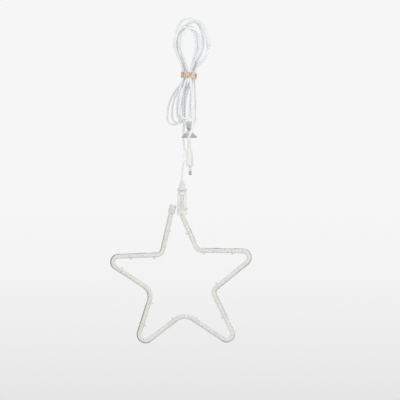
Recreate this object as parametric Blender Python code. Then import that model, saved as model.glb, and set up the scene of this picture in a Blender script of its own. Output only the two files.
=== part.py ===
"""Christmas star: a clear rope light tied along a bent steel wire, its cord wound into a hank.

The part hangs by the crown of the hank, and the origin is the underside of the lowest crown.
+Z is up, +X is to the right of the star seen from the front, and the front faces -Y.
Sizes are in metres.
"""

import math

import bmesh
import bpy
import numpy as np
from mathutils import Matrix, Vector

# Clearances and shared section sizes
SEAT_GAP = 0.0003
CUT_OVERRUN = 0.002
ROUND_SIDES = 20
FOLLOWER_SIDES = 12

# Rope light
ROPE_DIAMETER = 0.0090
BORE_DIAMETER = 0.0064
BUS_WIRE_DIAMETER = 0.0013
LED_DIAMETER = 0.0026
LED_LENGTH = 0.0050
LED_PITCH = 0.0295
LINK_WIRE_DIAMETER = 0.0010
LED_INSET = 0.0120

# Star outline, as the middle line of the rope
STAR_SPAN = 0.302
TIP_BEND = 0.0125
VALLEY_BEND = 0.0150
MOUTH_BEND = 0.0180
BEND_STEP = math.radians(15)

# Each corner: sideways and upward share of the span, then its share of the tip or valley bend
upper_left_valley_share = (-0.1385, 0.157, 1.0)
left_tip_share = (-0.5715, 0.1405, 0.97)
lower_left_valley_share = (-0.203, -0.099, 1.9)
left_foot_tip_share = (-0.3355, -0.5205, 1.04)
bottom_valley_share = (0.018, -0.251, 2.1)
right_foot_tip_share = (0.4225, -0.5195, 1.0)
lower_right_valley_share = (0.214, -0.095, 1.0)
right_tip_share = (0.552, 0.1815, 1.05)
upper_right_valley_share = (0.112, 0.187, 1.0)
apex_share = (-0.0475, 0.559)
left_flank_share = 0.855
mouth_height_share = 0.437

# Steel wire behind the outer side of the rope
WIRE_DIAMETER = 0.0022
WIRE_SETBACK = math.radians(30)
WIRE_END_MARGIN = 0.0020

# Clear ties round rope and wire
TIE_WIDTH = 0.0025
TIE_THICKNESS = 0.0010
TIE_HEAD_WIDTH = 0.0044
TIE_HEAD_LENGTH = 0.0052
TIE_HEAD_HEIGHT = 0.0032
TIE_POINTS = 16
end_tie_share = 1 / 3

# Each tie: flank of the star, and its share along the straight of that flank
tie_shares = (
    (0, 0.45),
    (1, 0.06),
    (1, 0.68),
    (2, 0.18),
    (3, 0.05),
    (3, 0.75),
    (4, 0.94),
    (5, 0.08),
    (6, 0.42),
    (7, 0.06),
    (8, 0.26),
    (8, 0.95),
    (9, 0.50),
)

# End cap on the left end of the rope
CAP_DIAMETER = 0.0149
CAP_LENGTH = 0.0172
CAP_TOP = 0.0026
CAP_RIM_HEIGHT = 0.0022
CAP_RIM_STEP = 0.0005

# Connector on the right end of the rope
SLEEVE_LENGTH = 0.0530
SLEEVE_TOP_RADIUS = 0.0097
SLEEVE_MOUTH_RADIUS = 0.0110
SLEEVE_WALL = 0.0016
ROPE_GRIP_DEPTH = 0.0300
MOUTH_DROP = 0.0021
GLAND_LENGTH = 0.0100
GLAND_RECESS = 0.0040
BLOCK_THICKNESS = 0.0070
PIN_DIAMETER = 0.0016
SPIGOT_LENGTH = 0.0025
COLLAR_RADIUS = 0.01065
COLLAR_HEIGHT = 0.0042
RELIEF_LENGTH = 0.0172
RELIEF_ROOT_RADIUS = 0.0078
RELIEF_TIP_RADIUS = 0.0034
RELIEF_RIBS = 4
RELIEF_GROOVE = 0.0007

# One rib of a strain relief: share of the rib's length, and of the groove's depth
rib_shares = (
    (0.00, 0.0),
    (0.55, 0.0),
    (0.62, 1.0),
    (0.93, 1.0),
)

# Cord and its hank
CORD_DIAMETER = 0.0045
LOOP_COUNT = 6
LOOP_STEP = 0.0052
FOLD_RADIUS = 0.0135
CROWN_HEIGHT = 0.0277
BELLY_DROP = 0.0300
WAIST_DROP = 0.0965
HANK_END_DROP = 0.1875
FOOT_DROP = 0.2032
FOOT_STAGGER = 0.0136
LEFT_BELLY_NEAR = 0.0202
LEFT_BELLY_FAR = 0.0352
RIGHT_BELLY_NEAR = 0.0117
RIGHT_BELLY_FAR = 0.0425
RIGHT_SHOULDER_DROP = 0.0140
LEFT_WAIST_FAR = 0.0160
LEFT_WAIST_NEAR = 0.0064
RIGHT_WAIST_NEAR = -0.0011
RIGHT_WAIST_FAR = 0.0088
FOOT_NEAR = 0.0024
FOOT_FAR = 0.0362
FAN_POWER = 2.6
FAN_SOFTNESS = 1.6
LEAD_START_X = -0.0138
TAIL_START_X = 0.0050

# Each loop's place between the near and the far, or the low and the high, of the sizes above
crown_shares = (1.00, 0.62, 0.37, 0.79, 0.13, 0.00)
left_belly_shares = (1.00, 0.07, 0.66, 0.36, 0.82, 0.00)
right_belly_shares = (0.51, 0.82, 0.15, 1.00, 0.00, 0.33)
right_shoulder_shares = (0.00, 1.00, 0.00, 0.00, 0.00, 0.00)
left_waist_shares = (0.20, 0.60, 0.40, 1.00, 0.80, 0.00)
right_waist_shares = (0.40, 0.60, 1.00, 0.80, 0.20, 0.00)
foot_side_shares = (1.00, 0.70, 0.00, 0.38, 0.20)
foot_rise_shares = (0.17, 0.42, 0.00, 0.85, 1.00)

# Where a run has its points, from the waist out
lower_run_shares = (0.10, 0.30, 0.60)
upper_run_shares = (0.38,)

# Free stretches of cord, as points read off by hand between the straight ends
LEAD_ROUTE = (
    (-0.0143, 0.0185, -0.2030),
    (-0.0151, 0.0235, -0.2140),
    (-0.0156, 0.0255, -0.2250),
    (-0.0153, 0.0238, -0.2370),
    (-0.0126, 0.0165, -0.2560),
    (-0.0140, 0.0085, -0.2770),
    (-0.0175, 0.0022, -0.2970),
)
LEAD_END = (-0.0181, 0.0000, -0.3195)
TAIL_ROUTE = (
    (0.0048, -0.0185, -0.2015),
    (0.0036, -0.0228, -0.2105),
    (0.0014, -0.0252, -0.2185),
    (-0.0014, -0.0256, -0.2250),
)
TAIL_END = (-0.0034, -0.0250, -0.2340)
ROUTE_STEP = 0.0100

# Foil twist tie round the waist of the hank
TWIST_WIDTH = 0.0044
TWIST_THICKNESS = 0.0009
TWIST_PITCH = 0.0050
TWIST_TURNS = 2
TWIST_SLANT = math.tan(math.radians(10))
TWIST_CLEARANCE = 0.0005
TWIST_TAIL = 0.0220
TWIST_TAIL_TURN = math.radians(540)
TWIST_BEND = 0.0030
TWIST_SQUARENESS = 2.8

# How far from the middle turn the strip starts and ends, steps outwards and levels off, as shares
twist_end_share = 0.05
twist_step_shares = (0.72, 0.82)
twist_level_shares = (0.82, 0.94)

# Flat two-pin plug, its front face down
PLUG_LEAN = math.radians(2.5)
PLUG_TURN = math.radians(84)
PLUG_RELIEF_LENGTH = 0.0200
PLUG_RELIEF_TIP = 0.0029
PLUG_RELIEF_ROOT = 0.0036
PLUG_RELIEF_RIBS = 5
PLUG_RELIEF_GROOVE = 0.0005
PLUG_BODY_LENGTH = 0.0360
PLUG_WIDTH = 0.0353
PLUG_THICKNESS = 0.0137
PLUG_PIN_SPACING = 0.0186
PLUG_PIN_DIAMETER = 0.0040
PLUG_PIN_LENGTH = 0.0190
PLUG_SLEEVE_LENGTH = 0.0100
PLUG_SHANK_DIAMETER = 0.0026
PLUG_SLEEVE_DIAMETER = 0.0038
PLUG_PIN_TOE_IN = math.radians(1.6)

# Plug body stations: share of its length, of its width, of its thickness, and squareness
plug_body_shares = (
    (0.00, 0.34, 0.80, 2.2),
    (0.12, 0.42, 0.92, 2.4),
    (0.40, 0.58, 0.97, 2.8),
    (0.66, 0.82, 1.00, 3.2),
    (0.84, 0.97, 1.00, 3.6),
    (0.93, 1.00, 1.00, 3.8),
    (1.00, 0.98, 0.97, 3.8),
)

# Suction cup, snapped on the lowest foot of the hank
CUP_RADIUS = 0.0175
CUP_RIM_WIDTH = 0.0016
CUP_RIM_HEIGHT = 0.0009
CUP_DOME_HEIGHT = 0.0145
CUP_WALL = 0.0022
CUP_NECK_RADIUS = 0.0042
CUP_NECK_LENGTH = 0.0035
CUP_HEAD_RADIUS = 0.0064
CUP_HEAD_LENGTH = 0.0172
CUP_HEAD_ROUND = 0.0016
CUP_HOLE_DEPTH = 0.0083
CUP_HOLE_CLEARANCE = 0.0004
CUP_SLIT = 0.0026

# Underside and outside of the cup, from the middle and from the neck: share across, share of the height
cup_hollow_shares = ((0.00, 0.75), (0.35, 0.66), (0.70, 0.36))
cup_dome_shares = ((0.66, 0.42), (0.30, 0.76))


def clear_scene():
    """Removes every object, so that the model starts from nothing."""
    for item in list(bpy.data.objects):
        bpy.data.objects.remove(item, do_unlink=True)


def make_material(name, colour, roughness, metallic=0.0, alpha=1.0):
    """One Principled material."""
    material = bpy.data.materials.new(name)
    material.use_nodes = True
    shader = material.node_tree.nodes["Principled BSDF"]
    shader.inputs["Base Color"].default_value = (*colour, 1.0)
    shader.inputs["Roughness"].default_value = roughness
    shader.inputs["Metallic"].default_value = metallic
    shader.inputs["Alpha"].default_value = alpha
    material.diffuse_color = (*colour, alpha)
    return material


def add_object(name, data, material, parent=None, place=None):
    """Puts a mesh or curve into the scene under its own name."""
    item = bpy.data.objects.new(name, data)
    bpy.context.scene.collection.objects.link(item)
    if not data.materials:
        data.materials.append(material)
    item.parent = parent
    if place is not None:
        item.matrix_local = place
    return item


def add_frame(name, place, parent=None):
    """An empty that carries a group of pieces."""
    frame = bpy.data.objects.new(name, None)
    bpy.context.scene.collection.objects.link(frame)
    frame.parent = parent
    frame.matrix_local = place
    return frame


def finish_mesh(bm, name):
    """Turns the faces outwards and shades the round ones smooth."""
    bmesh.ops.recalc_face_normals(bm, faces=bm.faces)
    mesh = bpy.data.meshes.new(name)
    bm.to_mesh(mesh)
    bm.free()
    mesh.shade_smooth()
    mesh.set_sharp_from_angle(angle=math.radians(35))
    return mesh


def skin_mesh(name, rings, closed=False):
    """Quads between rings of equal count; an open skin is capped at both ends."""
    bm = bmesh.new()
    loops = [[bm.verts.new(point) for point in ring] for ring in rings]
    pairs = list(zip(loops, loops[1:]))
    if closed:
        pairs.append((loops[-1], loops[0]))
    for low, high in pairs:
        for i in range(len(low)):
            j = (i + 1) % len(low)
            bm.faces.new((low[i], low[j], high[j], high[i]))
    if not closed:
        bm.faces.new(loops[0])
        bm.faces.new(loops[-1])
    return finish_mesh(bm, name)


def turned_mesh(name, profile, sides=ROUND_SIDES, closed=False):
    """Spins a profile of (radius, height) points round Z; a closed profile leaves a bore."""
    bm = bmesh.new()
    verts = [bm.verts.new((radius, 0, height)) for radius, height in profile]
    edges = [bm.edges.new(pair) for pair in zip(verts, verts[1:])]
    if closed:
        edges.append(bm.edges.new((verts[-1], verts[0])))
    bmesh.ops.spin(bm, geom=verts + edges, cent=(0, 0, 0), axis=(0, 0, 1), angle=math.tau, steps=sides)
    bmesh.ops.remove_doubles(bm, verts=bm.verts, dist=SEAT_GAP * 0.01)
    return finish_mesh(bm, name)


def tube_curve(name, points, diameter, resolution):
    """A round cord through the points, with filled ends."""
    curve = bpy.data.curves.new(name, "CURVE")
    curve.dimensions = "3D"
    curve.bevel_depth = diameter / 2
    curve.bevel_resolution = resolution
    curve.use_fill_caps = True
    spline = curve.splines.new("POLY")
    spline.points.add(len(points) - 1)
    for target, point in zip(spline.points, points):
        target.co = (*point, 1)
    return curve


def join_solids(base, other, operation):
    """Applies an exact Boolean of the other mesh to the base mesh."""
    holder = bpy.data.objects.new("holder", base)
    cutter = bpy.data.objects.new("cutter", other)
    for item in (holder, cutter):
        bpy.context.scene.collection.objects.link(item)
    modifier = holder.modifiers.new("shape", "BOOLEAN")
    modifier.operation = operation
    modifier.solver = "EXACT"
    modifier.object = cutter
    bpy.context.view_layer.update()
    graph = bpy.context.evaluated_depsgraph_get()
    result = bpy.data.meshes.new_from_object(holder.evaluated_get(graph))
    result.name = base.name
    for item in (holder, cutter):
        bpy.data.objects.remove(item, do_unlink=True)
    result.shade_smooth()
    result.set_sharp_from_angle(angle=math.radians(35))
    return result


def box_mesh(name, low, high):
    """A box between two corners."""
    bm = bmesh.new()
    bmesh.ops.create_cube(bm, size=1)
    size = Vector(high) - Vector(low)
    bmesh.ops.scale(bm, vec=size, verts=bm.verts)
    bmesh.ops.translate(bm, vec=(Vector(low) + Vector(high)) / 2, verts=bm.verts)
    return finish_mesh(bm, name)


def rod_mesh(name, radius, length, place, sides=ROUND_SIDES):
    """A round bar, centred on the place and running along its Z."""
    bm = bmesh.new()
    bmesh.ops.create_cone(bm, cap_ends=True, segments=sides, radius1=radius, radius2=radius,
                          depth=length, matrix=place)
    return finish_mesh(bm, name)


def eased(share):
    """Smooth step from 0 to 1."""
    share = min(max(share, 0.0), 1.0)
    return share * share * (3 - 2 * share)


def eased_between(limits, value):
    """Smooth step from 0 to 1 while the value goes from the first limit to the second."""
    low, high = limits
    return eased((value - low) / (high - low))


def between(low, high, share):
    """The value a share of the way from low to high."""
    return low + (high - low) * share


def pick(shares, index):
    """The share of one copy; the list starts again when it is short."""
    return shares[index % len(shares)]


# Star outline

def outline_corners():
    """The rope's corners, valley and tip in turn, as (point, bend)."""
    shares = (
        (upper_left_valley_share, VALLEY_BEND),
        (left_tip_share, TIP_BEND),
        (lower_left_valley_share, VALLEY_BEND),
        (left_foot_tip_share, TIP_BEND),
        (bottom_valley_share, VALLEY_BEND),
        (right_foot_tip_share, TIP_BEND),
        (lower_right_valley_share, VALLEY_BEND),
        (right_tip_share, TIP_BEND),
        (upper_right_valley_share, VALLEY_BEND),
    )
    return [(Vector((STAR_SPAN * across, STAR_SPAN * up)), bend * share)
            for (across, up, share), bend in shares]


def left_flank():
    """Foot of the upper left flank, its direction upwards, and the rope's length on it."""
    foot = outline_corners()[0][0]
    apex = Vector(apex_share) * STAR_SPAN
    return foot, (apex - foot).normalized(), (apex - foot).length * left_flank_share


def rope_left_end():
    """Where the rope ends inside the cap."""
    foot, up, length = left_flank()
    return foot + up * length


def mouth_place():
    """Middle of the connector's mouth: beside the cap, and clear of its upper corner."""
    foot, up, length = left_flank()
    cap_corner = rope_left_end() + up * (SEAT_GAP + CAP_TOP) + Vector((up.y, -up.x)) * CAP_DIAMETER / 2
    across = cap_corner.x + SEAT_GAP + SLEEVE_MOUTH_RADIUS
    return Vector((across, STAR_SPAN * mouth_height_share))


def rounded_path(start, corners, end):
    """Points and directions along straight flanks and round the bends between them.

    Returns the stations and, for each flank, the pair of points where it is straight.
    """
    points = [start] + [corner for corner, bend in corners] + [end]
    stations = [(start, (points[1] - start).normalized())]
    straights = []
    last = start
    for index, (corner, bend) in enumerate(corners, start=1):
        ahead = (points[index + 1] - corner).normalized()
        behind = (corner - points[index - 1]).normalized()
        turn = behind.angle_signed(ahead)
        tangent = bend * math.tan(abs(turn) / 2)
        begin = corner - behind * tangent
        straights.append((last, begin))
        side = Vector((behind.y, -behind.x)) * math.copysign(1, turn)
        centre = begin + side * bend
        steps = max(2, math.ceil(abs(turn) / BEND_STEP))
        for step in range(steps + 1):
            spin = Matrix.Rotation(-turn * step / steps, 2)
            stations.append((centre + spin @ (begin - centre), spin @ behind))
        last = corner + ahead * tangent
    straights.append((last, end))
    stations.append((end, (end - points[-2]).normalized()))
    return stations, straights


def rope_path():
    """The rope's middle line, from its end in the cap to its end in the connector."""
    mouth = mouth_place()
    bend_corner = (mouth - Vector((0, MOUTH_DROP)), MOUTH_BEND)
    end = mouth + Vector((0, ROPE_GRIP_DEPTH))
    return rounded_path(rope_left_end(), outline_corners() + [bend_corner], end)


def wire_path():
    """The part of the rope's middle line that the wire follows, clear of cap and connector."""
    foot, up, length = left_flank()
    start = rope_left_end() - up * (CAP_LENGTH - CAP_TOP + WIRE_END_MARGIN)
    stations, straights = rope_path()
    ahead = (straights[-2][1] - straights[-2][0]).normalized()
    end = straights[-2][1] - ahead * WIRE_END_MARGIN
    return rounded_path(start, outline_corners(), end)[0]


def ring_round(station, offset_out, offset_back, radius, sides):
    """A ring square to the path; out is away from the star's middle, back is +Y."""
    point, ahead = station
    out = Vector((ahead.y, -ahead.x))
    ring = []
    for side in range(sides):
        angle = math.tau * side / sides
        sideways = offset_out + radius * math.cos(angle)
        backways = offset_back + radius * math.sin(angle)
        place = point + out * sideways
        ring.append((place.x, backways, place.y))
    return ring


def flat_radius(radius, sides):
    """Corner radius of a polygon whose flats lie at the given radius."""
    return radius / math.cos(math.pi / sides)


# Rope light

def add_rope_jacket(star, material):
    """Clear tube: out along the outside, and back along the bore."""
    stations = rope_path()[0]
    bore = flat_radius(BORE_DIAMETER / 2, FOLLOWER_SIDES)
    outside = [ring_round(s, 0, 0, ROPE_DIAMETER / 2, FOLLOWER_SIDES) for s in stations]
    inside = [ring_round(s, 0, 0, bore, FOLLOWER_SIDES) for s in reversed(stations)]
    add_object("rope_jacket", skin_mesh("rope_jacket", outside + inside, closed=True), material, star)


def add_bus_wires(star, material):
    """The two supply wires, one on each side of the lamps."""
    stations = rope_path()[0]
    offset = BORE_DIAMETER / 2 - SEAT_GAP - BUS_WIRE_DIAMETER / 2
    for name, side in (("bus_wire_outer", 1), ("bus_wire_inner", -1)):
        rings = [ring_round(s, side * offset, 0, BUS_WIRE_DIAMETER / 2, 6) for s in stations]
        add_object(name, skin_mesh(name, rings), material, star)


def path_lengths(stations):
    """Running length at each station."""
    lengths = [0.0]
    for (a, _), (b, _) in zip(stations, stations[1:]):
        lengths.append(lengths[-1] + (b - a).length)
    return lengths


def station_at(stations, lengths, length):
    """The station at a running length, on the straight line between its neighbours."""
    index = min(max(np.searchsorted(lengths, length) - 1, 0), len(stations) - 2)
    span = lengths[index + 1] - lengths[index]
    share = (length - lengths[index]) / span if span > 0 else 0.0
    (a, towards_a), (b, towards_b) = stations[index], stations[index + 1]
    return a.lerp(b, share), towards_a.lerp(towards_b, share).normalized()


def add_led_string(star, material):
    """The lamps on their link wire: one body that swells at each lamp."""
    stations = rope_path()[0]
    lengths = path_lengths(stations)
    total = lengths[-1]
    count = int((total - 2 * LED_INSET) / LED_PITCH)
    first = (total - (count - 1) * LED_PITCH) / 2
    swell = (LED_DIAMETER - LINK_WIRE_DIAMETER) / 2
    marks = [(length, LINK_WIRE_DIAMETER / 2) for length in lengths]
    for lamp in range(count):
        middle = first + lamp * LED_PITCH
        low = middle - LED_LENGTH / 2
        high = middle + LED_LENGTH / 2
        marks = [mark for mark in marks if not low - swell <= mark[0] <= high + swell]
        marks += [(low - swell, LINK_WIRE_DIAMETER / 2), (low, LED_DIAMETER / 2)]
        marks += [(high, LED_DIAMETER / 2), (high + swell, LINK_WIRE_DIAMETER / 2)]
    rings = [ring_round(station_at(stations, lengths, length), 0, 0, radius, 6)
             for length, radius in sorted(marks)]
    add_object("led_string", skin_mesh("led_string", rings), material, star)


def wire_reach():
    """Distance from the rope's middle line to the wire's."""
    return ROPE_DIAMETER / 2 + SEAT_GAP + WIRE_DIAMETER / 2


def add_star_wire(star, material):
    """The bent steel wire that holds the star's shape."""
    out = wire_reach() * math.cos(WIRE_SETBACK)
    back = wire_reach() * math.sin(WIRE_SETBACK)
    rings = [ring_round(s, out, back, WIRE_DIAMETER / 2, 8) for s in wire_path()]
    add_object("star_wire", skin_mesh("star_wire", rings), material, star)


# Ties

def belt_outline(radius_a, centre_b, radius_b, points):
    """Outline of a belt drawn tight round two circles, the first one at the origin."""
    span = centre_b.length
    lean = math.acos((radius_a - radius_b) / span)
    course = math.atan2(centre_b.y, centre_b.x)
    outline = []
    for centre, radius, start, end in (
        (Vector((0, 0)), radius_a, course + lean, course + math.tau - lean),
        (centre_b, radius_b, course - lean, course + lean),
    ):
        for step in range(points):
            angle = start + (end - start) * step / (points - 1)
            outline.append(centre + Vector((math.cos(angle), math.sin(angle))) * radius)
    return outline


def belt_mesh(name, radius_a, centre_b, radius_b, points=TIE_POINTS):
    """A flat belt round two circles, square in section, with its lock on the far side."""
    rings = []
    for grow, height in ((0, -1), (0, 1), (TIE_THICKNESS, 1), (TIE_THICKNESS, -1)):
        outline = belt_outline(radius_a + grow, centre_b, radius_b + grow, points // 2)
        rings.append([(p.x, p.y, height * TIE_WIDTH / 2) for p in outline])
    belt = skin_mesh(name, rings, closed=True)
    outline = belt_outline(radius_a + TIE_THICKNESS / 2, centre_b, radius_b + TIE_THICKNESS / 2, points // 2)
    seat = outline[points // 8]
    next_seat = outline[points // 8 + 1]
    along = (next_seat - seat).normalized()
    middle = (seat + next_seat) / 2
    lock = box_mesh("lock", (-TIE_HEAD_LENGTH / 2, -TIE_HEAD_HEIGHT, -TIE_HEAD_WIDTH / 2),
                    (TIE_HEAD_LENGTH / 2, 0, TIE_HEAD_WIDTH / 2))
    turn = Matrix.Rotation(math.atan2(along.y, along.x), 4, "Z")
    lock.transform(Matrix.Translation((middle.x, middle.y, 0)) @ turn)
    return join_solids(belt, lock, "UNION")


def add_rope_ties(star, material):
    """Clear ties that hold the rope to the wire, one mesh for all of them."""
    wire = Vector((math.cos(WIRE_SETBACK), math.sin(WIRE_SETBACK))) * wire_reach()
    mesh = belt_mesh("rope_tie", ROPE_DIAMETER / 2 + SEAT_GAP, wire, WIRE_DIAMETER / 2 + SEAT_GAP)
    straights = rope_path()[1]
    for number, (flank, share) in enumerate(tie_shares, start=1):
        begin, end = straights[flank]
        if flank == 0:
            begin = begin + (end - begin).normalized() * CAP_LENGTH
        ahead = (end - begin).normalized()
        point = begin.lerp(end, share)
        out = Vector((ahead.y, 0, -ahead.x))
        back = Vector((0, 1, 0))
        axis = out.cross(back)
        place = Matrix((out, back, axis)).transposed().to_4x4()
        place.translation = (point.x, 0, point.y)
        add_object(f"rope_tie_{number:02d}", mesh, material, star, place)


def add_end_tie(star, material):
    """The tie that holds the cap against the connector."""
    foot, up, length = left_flank()
    mouth = mouth_place()
    drop = CAP_LENGTH * end_tie_share
    height = rope_left_end().y - drop
    cap_x = rope_left_end().x - up.x / up.y * drop
    lean_growth = abs(up.x / up.y) * TIE_WIDTH
    rise = (height - mouth.y) / SLEEVE_LENGTH
    sleeve_radius = between(SLEEVE_MOUTH_RADIUS, SLEEVE_TOP_RADIUS, rise) + SEAT_GAP * 2
    cap_radius = CAP_DIAMETER / 2 / up.y + lean_growth + SEAT_GAP
    mesh = belt_mesh("end_tie", sleeve_radius, Vector((cap_x - mouth.x, 0)), cap_radius, TIE_POINTS * 2)
    add_object("end_tie", mesh, material, star, Matrix.Translation((mouth.x, 0, height)))


# End cap

def add_end_cap(star, material):
    """A blind cap, open below for the rope, with a rim round its mouth."""
    foot, up, length = left_flank()
    radius = CAP_DIAMETER / 2
    bore = ROPE_DIAMETER / 2 + SEAT_GAP
    depth = CAP_LENGTH - CAP_TOP
    profile = (
        (0, SEAT_GAP),
        (flat_radius(bore, ROUND_SIDES), SEAT_GAP),
        (flat_radius(bore, ROUND_SIDES), -depth),
        (radius, -depth),
        (radius, -depth + CAP_RIM_HEIGHT),
        (radius - CAP_RIM_STEP, -depth + CAP_RIM_HEIGHT + CAP_RIM_STEP),
        (radius - CAP_RIM_STEP, SEAT_GAP + CAP_TOP - CAP_RIM_STEP * 2),
        (radius - CAP_RIM_STEP * 3, SEAT_GAP + CAP_TOP),
        (0, SEAT_GAP + CAP_TOP),
    )
    end = rope_left_end()
    place = Matrix.Translation((end.x, 0, end.y)) @ Matrix.Rotation(math.atan2(up.x, up.y), 4, "Y")
    add_object("end_cap", turned_mesh("end_cap", profile), material, star, place)


# Connector

def ribbed(root, tip, length, ribs, groove):
    """Points (radius, height) of a tapered relief from its root outwards, with a groove after each rib."""
    points = []
    for rib in range(ribs):
        for share, depth in rib_shares:
            along = (rib + share) / ribs
            points.append((between(root, tip, along) - groove * depth, length * along))
    return points


def add_connector(connector, clear, white, metal):
    """Sleeve, gland, pin block, pins and cord grip, built up from the mouth at height zero."""
    rope_radius = ROPE_DIAMETER / 2 + SEAT_GAP
    mouth_bore = SLEEVE_MOUTH_RADIUS - SLEEVE_WALL
    top_bore = SLEEVE_TOP_RADIUS - SLEEVE_WALL
    sleeve = (
        (mouth_bore, 0),
        (SLEEVE_MOUTH_RADIUS, 0),
        (SLEEVE_TOP_RADIUS, SLEEVE_LENGTH),
        (top_bore, SLEEVE_LENGTH),
    )
    add_object("connector_sleeve", turned_mesh("connector_sleeve", sleeve, closed=True), clear, connector)

    def bore_at(height):
        inscribed = between(mouth_bore, top_bore, height / SLEEVE_LENGTH) - SEAT_GAP
        return inscribed * math.cos(math.pi / ROUND_SIDES)

    inner = flat_radius(rope_radius, ROUND_SIDES)
    gland_top = GLAND_RECESS + GLAND_LENGTH
    gland = (
        (inner, GLAND_RECESS),
        (bore_at(GLAND_RECESS), GLAND_RECESS),
        (bore_at(gland_top), gland_top),
        (inner, gland_top),
    )
    add_object("rope_gland", turned_mesh("rope_gland", gland, closed=True), clear, connector)

    block_top = SLEEVE_LENGTH - SPIGOT_LENGTH - SEAT_GAP
    block_bottom = block_top - BLOCK_THICKNESS
    block_radius = bore_at(block_top)
    block = rod_mesh("pin_block", block_radius, BLOCK_THICKNESS,
                     Matrix.Translation((0, 0, (block_top + block_bottom) / 2)))
    pin_offset = BORE_DIAMETER / 2 - SEAT_GAP - BUS_WIRE_DIAMETER / 2
    pin_bottom = ROPE_GRIP_DEPTH + SEAT_GAP
    hole_radius = flat_radius(PIN_DIAMETER / 2 + SEAT_GAP, FOLLOWER_SIDES)
    for name, side in (("contact_pin_left", -1), ("contact_pin_right", 1)):
        across = side * pin_offset
        hole = rod_mesh("hole", hole_radius, BLOCK_THICKNESS + CUT_OVERRUN * 2,
                        Matrix.Translation((across, 0, (block_top + block_bottom) / 2)), FOLLOWER_SIDES)
        block = join_solids(block, hole, "DIFFERENCE")
        pin = rod_mesh(name, PIN_DIAMETER / 2, block_top - pin_bottom,
                       Matrix.Translation((across, 0, (block_top + pin_bottom) / 2)), FOLLOWER_SIDES)
        add_object(name, pin, metal, connector)
    add_object("pin_block", block, white, connector)

    collar_bottom = SLEEVE_LENGTH + SEAT_GAP
    collar_top = collar_bottom + COLLAR_HEIGHT
    relief_top = collar_top + RELIEF_LENGTH
    round_off = COLLAR_HEIGHT / 4
    relief = ribbed(RELIEF_ROOT_RADIUS, RELIEF_TIP_RADIUS, RELIEF_LENGTH, RELIEF_RIBS, RELIEF_GROOVE)
    grip = [
        (0, SLEEVE_LENGTH - SPIGOT_LENGTH),
        (bore_at(SLEEVE_LENGTH), SLEEVE_LENGTH - SPIGOT_LENGTH),
        (bore_at(SLEEVE_LENGTH), collar_bottom),
        (COLLAR_RADIUS, collar_bottom),
        (COLLAR_RADIUS, collar_top - round_off),
        (COLLAR_RADIUS - round_off, collar_top),
    ]
    grip += [(radius, collar_top + height) for radius, height in relief]
    grip += [(RELIEF_TIP_RADIUS, relief_top), (0, relief_top)]
    add_object("cord_grip", turned_mesh("cord_grip", grip), white, connector)


def connector_height():
    """From the mouth to the top of the cord grip."""
    return SLEEVE_LENGTH + SEAT_GAP + COLLAR_HEIGHT + RELIEF_LENGTH


# Hank of cord

def plane_y(number):
    """Depth of one layer of the hank; the first is at the back."""
    return (LOOP_COUNT / 2 - number) * LOOP_STEP


def crown_of(loop):
    """Left side, right side, top, and left and right belly height of a loop's upper end."""
    left = -between(LEFT_BELLY_NEAR, LEFT_BELLY_FAR, pick(left_belly_shares, loop))
    right = between(RIGHT_BELLY_NEAR, RIGHT_BELLY_FAR, pick(right_belly_shares, loop))
    top = between(CORD_DIAMETER / 2, CROWN_HEIGHT, pick(crown_shares, loop))
    half = (right - left) / 2
    belly = top - min(top + BELLY_DROP, half * half / FOLD_RADIUS)
    return left, right, top, belly, belly - RIGHT_SHOULDER_DROP * pick(right_shoulder_shares, loop)


def foot_of(loop):
    """Middle and lowest height of a loop's lower end."""
    across = -between(FOOT_NEAR, FOOT_FAR, pick(foot_side_shares, loop))
    return across, -FOOT_DROP + FOOT_STAGGER * pick(foot_rise_shares, loop)


def upper_run(waist, belly):
    """Points from the waist up to a belly, leaning over smoothly; both ends are left out."""
    return [(between(waist[0], belly[0], eased(share)), between(waist[1], belly[1], share))
            for share in upper_run_shares]


def lower_run(waist, side):
    """Points from the waist down to a foot's side: the strand spreads below the tie, then hangs straighter."""
    points = []
    for share in lower_run_shares:
        lean = (1 - (1 - share) ** FAN_POWER) ** FAN_SOFTNESS
        points.append((between(waist[0], side[0], lean), between(waist[1], side[1], share)))
    return points


def crown_points(left, right, top, left_belly, right_belly, steps=8):
    """Points over the crown: a quarter of an ellipse up from the left belly, and one down to the right."""
    points = []
    for step in range(steps + 1):
        angle = math.pi * (1 - step / steps)
        belly = left_belly if step < steps / 2 else right_belly
        across = (left + right) / 2 + (right - left) / 2 * math.cos(angle)
        points.append((across, belly + (top - belly) * math.sin(angle)))
    return points


def fold_points(across, side_height, steps=6):
    """Points on half a circle under a foot, from its right side to its left."""
    points = []
    for step in range(steps + 1):
        angle = -math.pi * step / steps
        points.append((across + FOLD_RADIUS * math.cos(angle), side_height + FOLD_RADIUS * math.sin(angle)))
    return points


def layered(points, loop, climbing):
    """Gives flat points their depth; a climbing run changes layer between belly and waist."""
    placed = []
    for across, height in points:
        share = eased((-BELLY_DROP - height) / (WAIST_DROP - BELLY_DROP)) if climbing else 0.0
        placed.append((across, between(plane_y(loop), plane_y(loop + 1), share), height))
    return placed


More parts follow.
